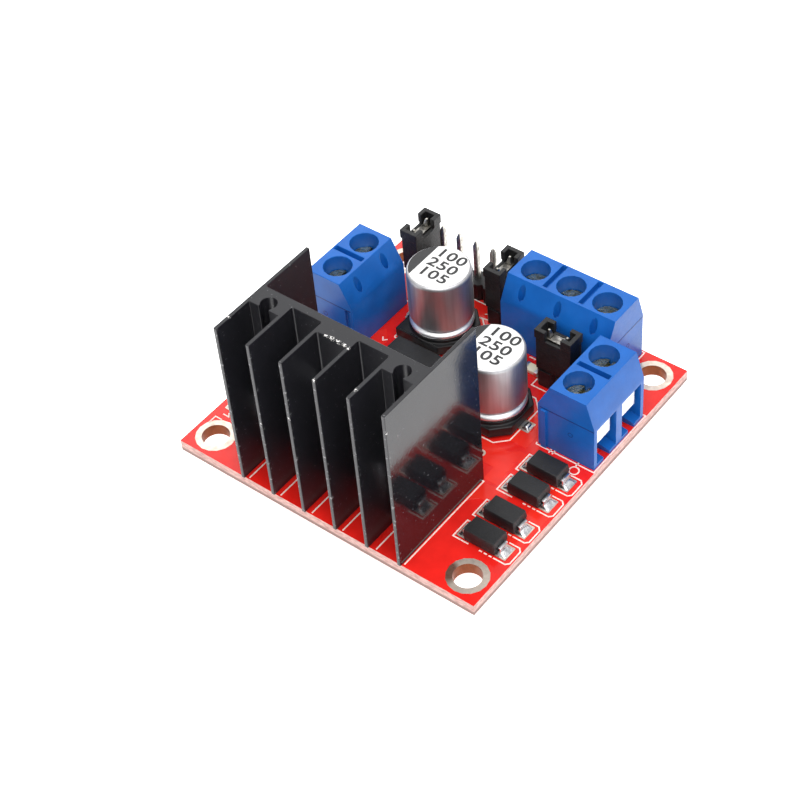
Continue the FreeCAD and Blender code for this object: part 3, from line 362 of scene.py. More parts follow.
# Silkscreen: white epoxy ink squeezed through a screen after the mask, about 0.02 mm thick. It
# marks the outline of each part and wears thin in places.
SILK_WIDTH, SILK_LOW, SILK_HIGH = 0.17, 0.005, 0.05
DIODE_ROWS = (-13.5, -9.8, -5.2, -1.48)
CANS = {"front": (6.3, 3.3), "rear": (-6.9, 10.75)}
# The heat sink, the three terminal blocks and the two headers, then short marks beside them
silk_lines = [
    [(11.85, -21.2), (11.85, -6.45), (10.95, -6.45)],
    [(-11.85, -21.2), (-11.85, -6.45), (-10.95, -6.45)],
    [(13.35, 1.95), (13.45, 1.68), (21.4, 1.68), (21.4, 12.45), (13.35, 12.45)],
    [(-13.35, 1.95), (-13.45, 1.68), (-21.4, 1.68), (-21.4, 12.45), (-13.35, 12.45)],
    [(0.05, 12.9), (0.05, 21.2), (15.65, 21.2), (15.65, 12.9)],
    [(7.5, 12.5), (7.5, 9.15), (12.95, 9.15), (12.95, 12.5)],
    [(-8.0, 21.1), (-16.4, 21.1), (-16.4, 17.35), (-0.7, 17.35), (-0.7, 21.1), (-8.0, 21.1)],
    [(15.4, 1.35), (15.4, 1.95)],
    [(15.85, 1.35), (15.85, 1.95)],
    [(19.15, 1.35), (19.15, 2.05)],
    [(-11.6, 7.6), (-11.2, 6.9), (-10.7, 7.2)],
    [(-12.4, 5.7), (-12.0, 5.2), (-11.6, 5.6)],
    [(4.6, 12.9), (5.5, 12.9)],
    [(4.6, 13.4), (4.6, 13.9), (5.4, 13.9)],
    [(-4.5, 15.1), (-3.1, 15.3)],
    [(-4.3, 15.9), (-3.5, 16.5)],
    [(-10.6, -2.2), (-10.6, 6.4), (-1.6, 6.4), (-1.6, -2.2)],
    [(-20.6, -17.4), (-20.6, -16.2), (-19.6, -16.2)],
    [(-20.1, -15.4), (-19.2, -15.4), (-19.6, -14.9)],
]
# A stroke between each pair of fins
for bay_x in (-10.75, -6.0, -1.35, 3.15, 7.95):
    silk_lines.append([(bay_x, -21.3), (bay_x, -16.2)])
# A bracket, a rounded end and a broken side round each diode
BRACKET = ((14.9, 1.36), (13.76, 1.36), (13.76, -1.36), (15.9, -1.36))
ROUND_END = ((19.5, 1.36), (20.9, 1.36), (21.28, 0.95), (21.28, -1.05), (20.9, -1.42), (19.3, -1.42))
for way in (-1, 1):
    for row in DIODE_ROWS:
        silk_lines.append([(way * x, row + y) for x, y in BRACKET])
        if (way, row) != (-1, -13.5):
            silk_lines.append([(way * x, row + y) for x, y in ROUND_END])
        for dash in (17.4, 18.05, 18.7):
            silk_lines.append([(way * dash, row - 1.42), (way * (dash + 0.4), row - 1.42)])
# A square with two cut corners round each capacitor
for x, y in CANS.values():
    corner = ((-4.3, -4.3), (2.9, -4.3), (4.3, -2.9), (4.3, -0.75))
    silk_lines.append([(x + across, y + along) for across, along in corner])
    silk_lines.append([(x + across, y - along) for across, along in corner])
    silk_lines.append([(x - 4.3, y - 4.2), (x - 4.3, y - 0.75)])
    silk_lines.append([(x - 4.3, y + 4.2), (x - 4.3, y + 0.75)])
# A small ring beside the last diode
silk_lines.append([
    (19.38 + 0.58 * math.cos(math.radians(turn)), 0.68 + 0.58 * math.sin(math.radians(turn)))
    for turn in range(0, 361, 20)
])
# The ink's wear lets the red through in specks, drawn at 0.19 mm.
INK, tree, place = new_material("epoxy_ink")
wear = add_node(tree, "TexNoise", {"Vector": place.outputs["Object"], "Scale": grain(0.19), "Detail": 3.0})
thin = add_node(tree, "MapRange", {"Value": wear, 1: 0.3, 2: 0.75})
ink_colour = add_node(tree, "Mix", {0: thin, 6: "#FFF6F0", 7: "#F0B8AC"}, data_type="RGBA")
shader = add_node(tree, "BsdfPrincipled", {"Base Color": ink_colour, "Roughness": 0.5})
add_node(tree, "OutputMaterial", {"Surface": shader})
join_as("silkscreen", [
    flat_shape(line_outline(points, SILK_WIDTH), BOARD_TOP + SILK_LOW, BOARD_TOP + SILK_HIGH)
    for points in silk_lines
], INK)

# Solder pads and joints: bare copper rectangles, tinned in the oven with the solder that holds the
# surface parts. It climbs against each lead in a bright, uneven heap.
SOLDER = bare_metal("reflowed_solder", "#F2F2F4", "#A9A9AE", 0.24, 0.45, 0.6)
PAD_TOP = BOARD_TOP + 0.05
HEAP_CREST, HEAP_SPREAD, HEAP_ROUND = 0.4, 0.72, 0.2


def pick_edges(test):
    """Selects, in edit mode, only the edges whose two ends in millimetres pass a test."""
    bpy.ops.mesh.select_mode(type="EDGE")
    bpy.ops.mesh.select_all(action="DESELECT")
    bpy.ops.object.mode_set(mode="OBJECT")
    mesh = bpy.context.object.data
    for edge in mesh.edges:
        first, second = (mesh.vertices[end].co / MM for end in edge.vertices)
        edge.select = test(first, second)
    bpy.ops.object.mode_set(mode="EDIT")


def add_block(low, high, upright=0.0, all_round=0.0):
    """A block between two corners in millimetres, its upright edges rounded, or all of its edges."""
    low, high = Vector(low) * MM, Vector(high) * MM
    bpy.ops.object.select_all(action="DESELECT")
    bpy.ops.mesh.primitive_cube_add(size=1, location=(low + high) / 2, scale=high - low)
    bpy.ops.object.transform_apply(location=True, rotation=True, scale=True)
    bpy.ops.object.mode_set(mode="EDIT")
    if upright:
        pick_edges(lambda first, second: abs(first.z - second.z) > 0.01)
        bpy.ops.mesh.bevel(offset=upright * MM, segments=3, affect="EDGES")
    if all_round:
        bpy.ops.mesh.select_all(action="SELECT")
        bpy.ops.mesh.bevel(offset=all_round * MM, segments=2, affect="EDGES")
    bpy.ops.object.mode_set(mode="OBJECT")
    return bpy.context.object


def add_pad(half_x, half_y):
    """A thin pad at the origin with rounded corners."""
    return add_block((-half_x, -half_y, BOARD_TOP), (half_x, half_y, PAD_TOP), 0.12)


def add_heap(half_x, half_y, height, lean):
    """A soft heap of solder at the origin, its crest leaning along X."""
    heap = add_block((-half_x, -half_y, PAD_TOP - 0.01), (half_x, half_y, PAD_TOP + height))
    bpy.ops.object.mode_set(mode="EDIT")
    pick_faces(lambda centre, normal: normal.z > 0.9)
    bpy.ops.transform.resize(value=(HEAP_CREST, HEAP_SPREAD, 1.0), center_override=(0.0, 0.0, 0.0))
    bpy.ops.transform.translate(value=(lean * MM, 0.0, 0.0))
    pick_edges(lambda first, second: max(first.z, second.z) > PAD_TOP)
    bpy.ops.mesh.bevel(offset=HEAP_ROUND * MM, segments=4, affect="EDGES")
    bpy.ops.object.mode_set(mode="OBJECT")
    return heap


both = (-1, 1)
PAD_X, CHIP_ROW_X, CHIP_ROW_Y, CHIP_PITCH = (14.78, 19.8), 0.9, 6.3, 1.9
# Pads of the diodes, capacitors and chips, then of the regulator's tab and its two leads
pads = copies_of(add_pad(0.82, 1.05), [
    (way * x, row) for way in both for row in DIODE_ROWS for x in PAD_X
])
pads += copies_of(add_pad(0.85, 0.85), [(x + way * 4.55, y) for x, y in CANS.values() for way in both])
pads += copies_of(add_pad(0.42, 0.65), [
    (CHIP_ROW_X + way * 1.08, CHIP_ROW_Y + CHIP_PITCH * chip) for chip in range(4) for way in both
])
pads += copies_of(add_pad(0.4, 0.65), [(x + way * 1.05, 11.2) for x in (3.9, 6.2) for way in both])
pads += copies_of(add_pad(3.0, 0.85), [(-6.1, 5.75)])
pads += copies_of(add_pad(0.7, 1.0), [(-6.1 + way * 2.29, -2.2) for way in both])
join_as("surface_pads", pads, TINNED_LAND)
heaps = copies_of(add_heap(0.7, 0.85, 0.42, 0.22), [
    (way * x, row, turn if way > 0 else 180 - turn)
    for way in both for row in DIODE_ROWS for x, turn in zip(PAD_X, (0, 180))
])
heaps += copies_of(add_heap(0.52, 0.6, 0.4, 0.0), [
    (x + way * 4.78, y) for x, y in CANS.values() for way in both
])
join_as("solder_fillets", heaps, SOLDER, smooth=60.0)
dress("solder_joints", SOLDER)

# Heat sink: a black anodised aluminium extrusion of six fins on a web, cut to length and drilled.
# The dye is deep and glossy with a fine grain, and knocks have bared the metal along thin edges.
# Each nick is its middle and its reach, and its outline is broken up by the flakes.
NICKS = [
    ((2.3, -21.75, 25.5), 0.45),
    ((-0.9, -15.95, 25.5), 0.4),
    ((-0.1, -15.95, 25.5), 0.55),
    ((0.8, -15.95, 25.5), 0.5),
    ((1.6, -15.95, 25.5), 0.55),
    ((2.4, -16.0, 25.5), 0.3),
    ((6.8, -20.3, 25.5), 0.35),
    ((-2.3, -21.7, 17.0), 0.35),
    ((-6.8, -21.7, 13.5), 0.3),
    ((-11.4, -19.4, 25.5), 0.35),
    ((11.6, -21.6, 23.0), 0.3),
]
ANODISED, tree, place = new_material("black_anodised_aluminium")
at = place.outputs["Object"]
spread = add_node(tree, "SeparateXYZ", {0: at})
normal = add_node(tree, "SeparateXYZ", {0: place.outputs["Normal"]})
level = add_node(tree, "Math", {0: normal.outputs["Z"]}, operation="ABSOLUTE")
top = add_node(tree, "MapRange", {"Value": level, 1: 0.7, 2: 0.9})
# The outer faces of the two end fins are the darkest and the smoothest, and mirror what is beside them
out = add_node(tree, "Math", {0: spread.outputs["X"]}, operation="ABSOLUTE")
outside = add_node(tree, "MapRange", {"Value": out, 1: 11.58 * MM, 2: 11.63 * MM})
dye = add_node(tree, "TexNoise", {"Vector": at, "Scale": grain(8.0), "Detail": 3.0})
dye = add_node(tree, "MapRange", {"Value": dye, 1: 0.35, 2: 0.7})
coat = add_node(tree, "Mix", {0: dye, 6: "#1F1F24", 7: "#1A1A1E"}, data_type="RGBA")
share = add_node(tree, "Math", {0: outside, 1: 0.3}, operation="MULTIPLY")
coat = add_node(tree, "Mix", {0: share, 6: coat, 7: "#0C0C0E"}, data_type="RGBA")
share = add_node(tree, "Math", {0: top, 1: 0.65}, operation="MULTIPLY")
coat = add_node(tree, "Mix", {0: share, 6: coat, 7: "#232326"}, data_type="RGBA")
# Dust and pinholes in the anodising, drawn at 0.3 mm so that they show
dust = add_node(tree, "TexNoise", {"Vector": at, "Scale": grain(0.3), "Detail": 1.0})
dust = add_node(tree, "MapRange", {"Value": dust, 1: 0.72, 2: 0.78})
share = add_node(tree, "Math", {0: dust, 1: 0.35}, operation="MULTIPLY")
coat = add_node(tree, "Mix", {0: share, 6: coat, 7: "#9A9A9E"}, data_type="RGBA")
# Edge wear on the front ends of the fins
ahead = add_node(tree, "MapRange", {"Value": spread.outputs["Y"], 1: -21.3 * MM, 2: -21.5 * MM})
rub = add_node(tree, "TexNoise", {"Vector": at, "Scale": grain(0.45), "Detail": 3.0})
rub = add_node(tree, "MapRange", {"Value": rub, 1: 0.6, 2: 0.7, 4: 0.6})
share = add_node(tree, "Math", {0: ahead, 1: rub}, operation="MULTIPLY")
coat = add_node(tree, "Mix", {0: share, 6: coat, 7: "#A6A6A8"}, data_type="RGBA")
flakes = add_node(tree, "TexNoise", {"Vector": at, "Scale": grain(0.16), "Detail": 2.0})
flakes = add_node(tree, "MapRange", {"Value": flakes, 1: 0.35, 2: 0.65, 3: -0.8, 4: 0.35})
for middle, radius in NICKS:
    spot = tuple(part * MM for part in middle)
    reach = add_node(tree, "VectorMath", {0: at, 1: spot}, operation="DISTANCE")
    near = add_node(tree, "MapRange", {"Value": reach, 1: radius * MM, 2: 0.0})
    ragged = add_node(tree, "Math", {0: near, 1: flakes}, operation="ADD")
    nick = add_node(tree, "MapRange", {"Value": ragged, 1: 0.45, 2: 0.6})
    coat = add_node(tree, "Mix", {0: nick, 6: coat, 7: "#F4F2EE"}, data_type="RGBA")
# Wiped gloss: long upright smears on the faces, and a duller saw cut on top
wiped = add_node(tree, "Mapping", {"Vector": at, "Scale": (1.0, 1.0, 0.35)})
smear = add_node(tree, "TexNoise", {"Vector": wiped, "Scale": grain(3.3), "Detail": 4.0})
smear = add_node(tree, "MapRange", {"Value": smear, 1: 0.3, 2: 0.75, 3: 0.07, 4: 0.13})
inside = add_node(tree, "MapRange", {"Value": outside, 1: 1.0, 2: 0.0, 4: 0.3})
rough_top = add_node(tree, "Math", {0: top, 1: 0.5}, operation="MULTIPLY")
rough = add_node(tree, "Math", {0: inside, 1: rough_top}, operation="MAXIMUM")
rough = add_node(tree, "Math", {0: smear, 1: rough}, operation="MAXIMUM")
pits = add_node(tree, "TexNoise", {"Vector": at, "Scale": grain(0.32), "Detail": 2.0})
pitted = add_node(tree, "Bump", {"Height": pits, "Strength": 0.14, "Distance": 0.03 * MM})
wave = add_node(tree, "TexNoise", {"Vector": at, "Scale": grain(3.8), "Detail": 1.0})
skin = add_node(tree, "Bump", {"Height": wave, "Strength": 0.06, "Distance": 0.12 * MM, "Normal": pitted})
shader = add_node(tree, "BsdfPrincipled", {
    "Base Color": coat, "Roughness": rough, "IOR": 1.47, "Normal": skin,
})
add_node(tree, "OutputMaterial", {"Surface": shader})
dress("heat_sink", ANODISED, 0.07)

# Mounting pins and screw: turned steel pins pressed in the web's two channels and soldered in the
# board, and the steel screw that clamps the driver's tab to the web. Zinc gives them a cool grey.
STEEL = bare_metal("zinc_plated_steel", "#C9CBD0", "#8E9096", 0.3, 0.33, 0.3)
dress("heat_sink_pegs", STEEL)
dress("driver_ic_screw", STEEL, 0.15)

# Driver circuit: a 15-lead upright power package. Its body is transfer-moulded black epoxy, its tab
# nickel-plated copper, and its tinned leads are formed into two staggered rows. The black epoxy is
# painted a mid grey, a painted sheen for the gloss on its top; the tab is warm and cloudy, and the
# leads bright.


def moulded(name, light, dark, rough, grain_mm, bump, ior=1.46):
    """Moulded plastic: a base tone with faint clouds, and the mould's texture, drawn coarse to show."""
    material, tree, place = new_material(name)
    at = place.outputs["Object"]
    clouds = add_node(tree, "TexNoise", {"Vector": at, "Scale": grain(2.6), "Detail": 3.0})
    share = add_node(tree, "MapRange", {"Value": clouds, 1: 0.3, 2: 0.7})
    colour = add_node(tree, "Mix", {0: share, 6: light, 7: dark}, data_type="RGBA")
    texture = add_node(tree, "TexNoise", {"Vector": at, "Scale": grain(grain_mm), "Detail": 3.0})
    roughness = add_node(tree, "MapRange", {
        "Value": texture, 1: 0.3, 2: 0.7, 3: rough * 0.85, 4: rough * 1.15,
    })
    skin = add_node(tree, "Bump", {"Height": texture, "Strength": bump, "Distance": 0.05 * MM})
    shader = add_node(tree, "BsdfPrincipled", {
        "Base Color": colour, "Roughness": roughness, "IOR": ior, "Normal": skin,
    })
    add_node(tree, "OutputMaterial", {"Surface": shader})
    return material


TINNED_COPPER = bare_metal("tinned_copper", "#F4F4F6", "#C9C9CC", 0.34, 0.4, 0.35)
# Painted sheen: the black epoxy is given a mid grey so that its top reads glossy.
dress("driver_ic_body", moulded("epoxy_package_painted_sheen", "#4C4D52", "#424348", 0.38, 0.2, 0.2), 0.15)
dress("driver_ic_tab", bare_metal("nickel_plated_tab", "#B9B4AE", "#8D8680", 0.36, 1.4, 0.3), 0.1)
dress("driver_ic_leads", TINNED_COPPER)

# Screw terminals: blocks moulded in blue polyamide, with a tinned metal cage in each pole. The mould
# leaves a parting line round the ends and an ejector mark in the middle of each, and the plastic
# has a satin sheen. The lines and the marks are drawn in a darker blue: painted shade of the step
# and the dimple.
dress("*_terminal_housing", moulded("blue_polyamide", "#1361B6", "#1058A8", 0.34, 0.38, 0.14, 1.36), 0.09)
dress("*_terminal_contacts", TINNED_COPPER)
# Painted shade: a darker blue for the parting lines and the ejector marks.
MOULD_LINE_SHADE = moulded("blue_polyamide_in_shade", "#07306A", "#062A5E", 0.4, 0.38, 0.14, 1.36)
BLOCKS = {"left": (2, -17.45, 7.05, 90), "right": (2, 17.45, 7.05, -90), "rear": (3, 7.85, 17.1, 0)}
POLE_HALF = 2.54
PARTING_BACK, PARTING_FRONT, PARTING_LOW, PARTING_HIGH = -3.6, 3.78, 7.8, 7.93
EJECTOR_RADIUS, EJECTOR_RIM, EJECTOR_DEPTH = 0.34, 0.07, 0.029
EJECTOR_Y, EJECTOR_Z = 0.55, 5.6
for side, (poles, x, y, turn) in BLOCKS.items():
    end = poles * POLE_HALF
    marks = []
    for way in both:
        left, right = sorted((way * (end - 0.03), way * (end + 0.02)))
        low = (left, PARTING_BACK, PARTING_LOW)
        high = (right, PARTING_FRONT, PARTING_HIGH)
        marks.append(add_block(low, high, all_round=0.01))
        bpy.ops.object.select_all(action="DESELECT")
        spot = Vector((way * end, EJECTOR_Y, EJECTOR_Z)) * MM
        bpy.ops.mesh.primitive_cylinder_add(
            vertices=24, radius=EJECTOR_RADIUS * MM, depth=0.03 * MM,
            location=spot, rotation=(0.0, math.pi / 2, 0.0),
        )
        bpy.ops.object.transform_apply(location=True, rotation=True, scale=True)
        bpy.ops.object.mode_set(mode="EDIT")
        pick_faces(lambda centre, normal: normal.x * way > 0.9)
        bpy.ops.mesh.inset(thickness=EJECTOR_RIM * MM)
        inward = (-EJECTOR_DEPTH * way * MM, 0, 0)
        bpy.ops.mesh.extrude_region_move(TRANSFORM_OT_translate={"value": inward})
        bpy.ops.object.mode_set(mode="OBJECT")
        marks.append(bpy.context.object)
    join_as(
        f"{side}_terminal_parting_lines",
        [mark for model in marks for mark in copies_of(model, [(x, y, turn)])],
        MOULD_LINE_SHADE,
    )

# Clamps: a slotted screw of yellow-passivated steel in each pole turns down its thread and pushes a
# tinned leaf onto the wire. From above only its recessed head shows, dark with bright glints.
YELLOW_ZINC = bare_metal("yellow_zinc_plate", "#FBF3CC", "#77734F", 0.26, 0.75, 1.35)
dress("*_clamp_leaf_*", TINNED_COPPER)
dress("*_terminal_screw_*", YELLOW_ZINC)

# Electrolytic capacitors: cans of drawn aluminium crimped on a rubber plug and seated on a black
# moulded base. The top carries a white print with a black segment on the negative side. Drawing
# leaves soft upright streaks in the metal. Round its foot the metal is made near white, a painted
# highlight for the bead's bright crescent.
CAN_TOP = BOARD_TOP + 10.5
# The can's half section from foot to top: radius, and height above the board
CAN_PROFILE = [
    (0.0, 2.1), (3.7, 2.1), (3.86, 2.15), (3.96, 2.26), (4.0, 2.4), (4.0, 2.52), (3.94, 2.65), (3.82, 2.76),
    (3.68, 2.83), (3.59, 2.89), (3.55, 2.98), (3.58, 3.08), (3.67, 3.2), (3.8, 3.32), (3.9, 3.44),
    (3.97, 3.6), (4.0, 3.85),
    (4.0, 9.96),
    (3.985, 10.12), (3.93, 10.28), (3.84, 10.4), (3.72, 10.47), (3.58, 10.5), (3.3, 10.5), (0.0, 10.5),
]
FOOT_HIGHLIGHT_TOP = 4.48
ALUMINIUM, tree, place = new_material("drawn_aluminium")
at = place.outputs["Object"]
drawn = add_node(tree, "Mapping", {"Vector": at, "Scale": (1.0, 1.0, 0.05)})
streaks = add_node(tree, "TexNoise", {"Vector": drawn, "Scale": grain(0.53), "Detail": 3.0})
streaks = add_node(tree, "MapRange", {"Value": streaks, 1: 0.3, 2: 0.7})
share = add_node(tree, "Math", {0: streaks, 1: 0.6}, operation="MULTIPLY")
tone = add_node(tree, "Mix", {0: share, 6: "#CBCBCD", 7: "#A9A8AB"}, data_type="RGBA")
height = add_node(tree, "SeparateXYZ", {0: at})
# Painted highlight: below the foot's top the metal is made near white.
foot = add_node(tree, "MapRange", {
    "Value": height.outputs["Z"], 1: (FOOT_HIGHLIGHT_TOP + 0.08) * MM, 2: FOOT_HIGHLIGHT_TOP * MM,
})
tone = add_node(tree, "Mix", {0: foot, 6: tone, 7: "#FBFCFC"}, data_type="RGBA")
scuffs = add_node(tree, "TexNoise", {"Vector": at, "Scale": grain(2.4), "Detail": 3.0})
matt = add_node(tree, "MapRange", {"Value": scuffs, 1: 0.35, 2: 0.7, 3: 0.44, 4: 0.52})
skin = add_node(tree, "Bump", {"Height": streaks, "Strength": 0.12, "Distance": 0.03 * MM})
shader = add_node(tree, "BsdfPrincipled", {
    "Base Color": tone, "Metallic": 1.0, "Roughness": matt, "Normal": skin,
})
add_node(tree, "OutputMaterial", {"Surface": shader})
WHITE_PRINT = moulded("white_print", "#F4F3F1", "#E9E8E6", 0.42, 0.33, 0.1)
BLACK_PRINT = moulded("black_print", "#232326", "#1A1A1C", 0.36, 0.33, 0.15)
dress("*_capacitor_base", moulded("black_capacitor_base", "#121213", "#0D0D0E", 0.4, 0.26, 0.3), 0.15)
dress("*_capacitor_leads", TINNED_COPPER)
dress("*_capacitor_can", ALUMINIUM)
CHORD, WHITE_RADIUS, BLACK_RADIUS = -2.25, 3.68, 3.7
# Each number and how far it stands above or below the middle of the can
NUMBERS = (("100", 1.56), ("250", -0.33), ("105", -2.17))
NUMBER_SHIFT, NUMBER_SIZE, NUMBER_STRETCH, NUMBER_SPACING = 0.32, 2.1, 1.25, 1.08
NUMBER_BOLD, INK_DEPTH, PRINT_DEPTH = 0.045, 0.008, 0.03


def add_segment(x, y, radius, keep_left):
    """A thin printed disc on a can, cut along the chord."""
    bpy.ops.object.select_all(action="DESELECT")
    middle = Vector((x, y, CAN_TOP - 0.01)) * MM
    bpy.ops.mesh.primitive_circle_add(vertices=96, radius=radius * MM, fill_type="NGON", location=middle)
    bpy.ops.object.transform_apply(location=True, rotation=True, scale=True)
    bpy.ops.object.mode_set(mode="EDIT")
    bpy.ops.mesh.select_all(action="SELECT")
    cut = Vector((x + CHORD, y, CAN_TOP)) * MM
    bpy.ops.mesh.bisect(plane_co=cut, plane_no=(1, 0, 0), clear_outer=keep_left, clear_inner=not keep_left)
    bpy.ops.mesh.select_all(action="SELECT")
    bpy.ops.mesh.extrude_region_move(TRANSFORM_OT_translate={"value": (0, 0, PRINT_DEPTH * MM)})
    bpy.ops.object.mode_set(mode="OBJECT")
    return bpy.context.object


for where, (x, y) in CANS.items():
    profile = bpy.data.curves.new("can_profile", "CURVE")
    profile.dimensions = "3D"
    spline = profile.splines.new("POLY")
    spline.points.add(len(CAN_PROFILE) - 1)
    for point, (radius, lift) in zip(spline.points, CAN_PROFILE):
        point.co = ((x + radius) * MM, y * MM, (BOARD_TOP + lift) * MM, 1.0)
    shell = bpy.data.objects.new("can_profile", profile)
    bpy.context.scene.collection.objects.link(shell)
    bpy.ops.object.select_all(action="DESELECT")
    shell.select_set(True)
    bpy.context.view_layer.objects.active = shell
    bpy.ops.object.convert(target="MESH")
    bpy.ops.object.mode_set(mode="EDIT")
    bpy.ops.mesh.select_all(action="SELECT")
    bpy.ops.mesh.spin(steps=72, angle=math.tau, center=(x * MM, y * MM, 0.0), axis=(0, 0, 1))
    bpy.ops.object.mode_set(mode="OBJECT")
    shell = join_as(f"{where}_can_shell", [bpy.context.object], ALUMINIUM, smooth=60.0)
    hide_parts(f"{where}_capacitor_can")
    join_as(f"{where}_can_white_print", [add_segment(x, y, WHITE_RADIUS, False)], WHITE_PRINT)
    join_as(f"{where}_can_black_print", [add_segment(x, y, BLACK_RADIUS, True)], BLACK_PRINT)
    for line, (words, lift) in enumerate(NUMBERS, start=1):
        bpy.ops.object.select_all(action="DESELECT")
        spot = Vector((x + NUMBER_SHIFT, y + lift, CAN_TOP + PRINT_DEPTH))
        bpy.ops.object.text_add(location=spot * MM)
        number = bpy.context.object
        number.scale = (NUMBER_STRETCH, 1.0, 1.0)
        number.data.body = words
        number.data.size = NUMBER_SIZE * MM
        number.data.space_character = NUMBER_SPACING
        number.data.align_x = "CENTER"
        number.data.offset = NUMBER_BOLD * MM
        number.data.extrude = INK_DEPTH * MM
        join_as(f"{where}_can_number_{line}", [number], BLACK_PRINT)

# Pin headers: square brass pins, plated and coined to a point at both ends, pressed through a strip
# of black glass-filled moulding and soldered in the board. The plate is a soft grey with fine marks,
# the moulding a satin black.
PIN_HALF = 0.32
PIN_FOOT, PIN_TIP_START = -0.9, 9.45
# Which end, how long its point is, and what share of the pin's side is left at the tip
PIN_POINTS = ((1, 0.69, 0.38), (-1, 0.3, 0.6))
PIN_SPOTS = {
    "control": [(-14.94 + 2.54 * pin, 18.7) for pin in range(6)],
    "enable": [(-14.94, 16.16), (-2.24, 16.16)],
    "supply": [(8.95, 10.95), (11.49, 10.95)],
}
PLATED_PIN = bare_metal("plated_pin", "#D4D1C8", "#8C8982", 0.34, 0.38, 0.25)
BLACK_MOULDING = moulded("black_polyester", "#151517", "#101012", 0.48, 0.19, 0.35)
dress("*_header_base", BLACK_MOULDING, 0.06)
dress("*_header_pins", PLATED_PIN)
for header, spots in PIN_SPOTS.items():
    pin = add_block((-PIN_HALF, -PIN_HALF, PIN_FOOT), (PIN_HALF, PIN_HALF, PIN_TIP_START), 0.05)
    bpy.ops.object.mode_set(mode="EDIT")
    for way, reach, taper in PIN_POINTS:
        pick_faces(lambda centre, normal: normal.z * way > 0.9)
        bpy.ops.mesh.extrude_region_move(TRANSFORM_OT_translate={"value": (0, 0, way * reach * MM)})
        bpy.ops.transform.resize(value=(taper, taper, 1.0), center_override=(0.0, 0.0, 0.0))
    bpy.ops.object.mode_set(mode="OBJECT")
    pins = join_as(f"{header}_pointed_pins", copies_of(pin, spots), PLATED_PIN, smooth=20.0)
    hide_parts(f"{header}_header_pins")

# Jumpers: a black moulded cap with an open top, holding a sprung clip of tinned bronze that bridges
# two pins. Each pulls off upwards with its clip. The cap is a grainy black, the clip a dull silver.
dress("*_jumper_cap", moulded("black_polyester_grainy", "#1A1A1B", "#101011", 0.5, 0.26, 0.9), 0.22)
dress("*_jumper_clip", bare_metal("tinned_bronze", "#B9B6B0", "#6C6964", 0.3, 0.3, 0.5))

# Diodes: eight flat rectangular packages of moulded epoxy in two rows, with tinned leads folded
# under their ends and soldered to the pads. The epoxy is matt black, the leads bright and uneven.
dress("*_diode_bodies", moulded("diode_epoxy", "#1D1D1F", "#151517", 0.5, 0.24, 0.5), 0.1)
dress("*_diode_leads", SOLDER, 0.04)

# Regulator: a flat surface-mounted package of moulded epoxy, its tinned tab soldered down flat to
# shed heat into the board: satin black against soft silver.
dress("regulator_body", BLACK_MOULDING, 0.12)
dress("regulator_tab", TINNED_COPPER)

# Small chips: ceramic resistors and capacitors and the power lamp, with tinned ends wrapped round
# them and soldered to their pads. The resistors are glossy black, the capacitors a matt tan, and
# the lamp is pale and clear.
CHIPS = [(CHIP_ROW_X, CHIP_ROW_Y + CHIP_PITCH * chip, 0.55) for chip in range(4)]
CHIPS += [(3.9, 11.2, 0.9), (6.2, 11.2, 0.55)]
END_HALF_X, END_HALF_Y, END_LIFT, END_OUT = 0.205, 0.655, 0.03, 0.825
dress("chip_resistors", moulded("glazed_resistor", "#1C1C1E", "#232325", 0.3, 0.19, 0.2), 0.05)
dress("chip_capacitors", moulded("tan_ceramic", "#A98460", "#8F6C4B", 0.45, 0.19, 0.3), 0.08)
dress("power_led", moulded("clear_lamp_resin", "#F6F1DC", "#E8DDB8", 0.25, 0.19, 0.1), 0.08)
ends = []
for x, y, thickness in CHIPS:
    low = (-END_HALF_X, -END_HALF_Y, BOARD_TOP + END_LIFT)
    high = (END_HALF_X, END_HALF_Y, BOARD_TOP + thickness + END_LIFT)
    ends += copies_of(add_block(low, high, all_round=0.05), [(x + way * END_OUT, y) for way in both])
join_as("chip_end_caps", ends, TINNED_COPPER)

# Floor: a plain white sheet under the solder tails. Its own whiteness is only for the camera and for
# reflections, so that the light on the object stays plain.
FLOOR = -1.21 * MM
FLOOR_SIDE = 6.0
PAPER, tree, place = new_material("white_paper")
paths = add_node(tree, "LightPath")
seen = add_node(tree, "Math", {
    0: paths.outputs["Is Camera Ray"], 1: paths.outputs["Is Glossy Ray"],
}, operation="MAXIMUM")
seen = add_node(tree, "Math", {0: seen, 1: paths.outputs["Is Transmission Ray"]}, operation="MAXIMUM")
glow = add_node(tree, "Math", {0: seen, 1: 0.85}, operation="MULTIPLY")
shader = add_node(tree, "BsdfPrincipled", {
    "Base Color": "#F5F5F5", "Roughness": 0.9, "Specular IOR Level": 0.2,
    "Emission Color": "#FFFFFF", "Emission Strength": glow,
})
add_node(tree, "OutputMaterial", {"Surface": shader})
bpy.ops.object.select_all(action="DESELECT")
bpy.ops.mesh.primitive_plane_add(size=FLOOR_SIDE, location=(0.0, 0.0, FLOOR))
bpy.ops.object.transform_apply(location=True, rotation=True, scale=True)
floor = bpy.context.object
floor.name = "floor"
floor.data.materials.append(PAPER)


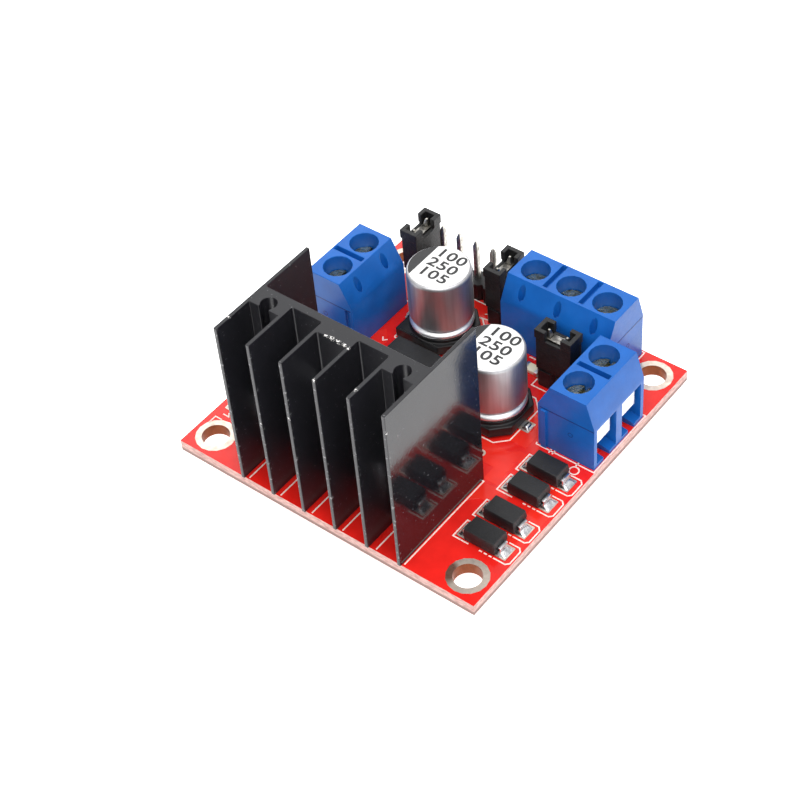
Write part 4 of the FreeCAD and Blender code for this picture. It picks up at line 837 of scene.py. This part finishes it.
# Studio: a key softbox behind the board to the left, a large one overhead, and an even pale room.
def add_softbox(name, place, size, power):
    """A square lamp of a side in metres and a power in watts, turned to the object."""
    lamp = bpy.data.lights.new(name, "AREA")
    lamp.size = size
    lamp.energy = power
    holder = bpy.data.objects.new(name, lamp)
    holder.location = place
    holder.rotation_euler = (-Vector(place)).to_track_quat("-Z", "Y").to_euler()
    bpy.context.scene.collection.objects.link(holder)


add_softbox("key", (-0.451, 0.304, 0.254), 0.5, 1.2)
add_softbox("overhead", (0.15, -0.15, 0.5), 0.6, 3.0)
room = bpy.data.worlds.new("room")
bpy.context.scene.world = room
room.use_nodes = True
tree = room.node_tree
tree.nodes.clear()
way_out = add_node(tree, "TexCoord")
height = add_node(tree, "SeparateXYZ", {0: way_out.outputs["Generated"]})
share = add_node(tree, "MapRange", {"Value": height.outputs["Z"], 1: -0.1, 2: 0.6})
shade = add_node(tree, "Mix", {0: share, 6: "#A0A0A4", 7: "#FFFFFF"}, data_type="RGBA")
air = add_node(tree, "Background", {"Color": shade, "Strength": 0.9})
add_node(tree, "OutputWorld", {"Surface": air})

# Camera: at the photograph's viewing angle, a long lens looking down on the near corner.
AZIMUTH, ELEVATION, ROLL = math.radians(41.947), math.radians(45.929), math.radians(-5.598)
FAR, LEFTWARD, UPWARD = 225.915, -4.278, 1.736
back = Vector((
    math.sin(AZIMUTH) * math.cos(ELEVATION), -math.cos(AZIMUTH) * math.cos(ELEVATION), math.sin(ELEVATION)
))
level_right = Vector((math.cos(AZIMUTH), math.sin(AZIMUTH), 0))
upright = back.cross(level_right)
right = level_right * math.cos(ROLL) + upright * math.sin(ROLL)
up = upright * math.cos(ROLL) - level_right * math.sin(ROLL)
lens = bpy.data.cameras.new("camera")
lens.lens = 85.28
lens.sensor_width = 36
lens.clip_start = 0.01
camera = bpy.data.objects.new("camera", lens)
bpy.context.scene.collection.objects.link(camera)
aim = Matrix((right, up, back)).transposed().to_4x4()
aim.translation = (back * FAR + right * LEFTWARD + up * UPWARD) * MM
camera.matrix_world = aim
bpy.context.scene.camera = camera
bpy.context.scene.view_settings.view_transform = "Standard"
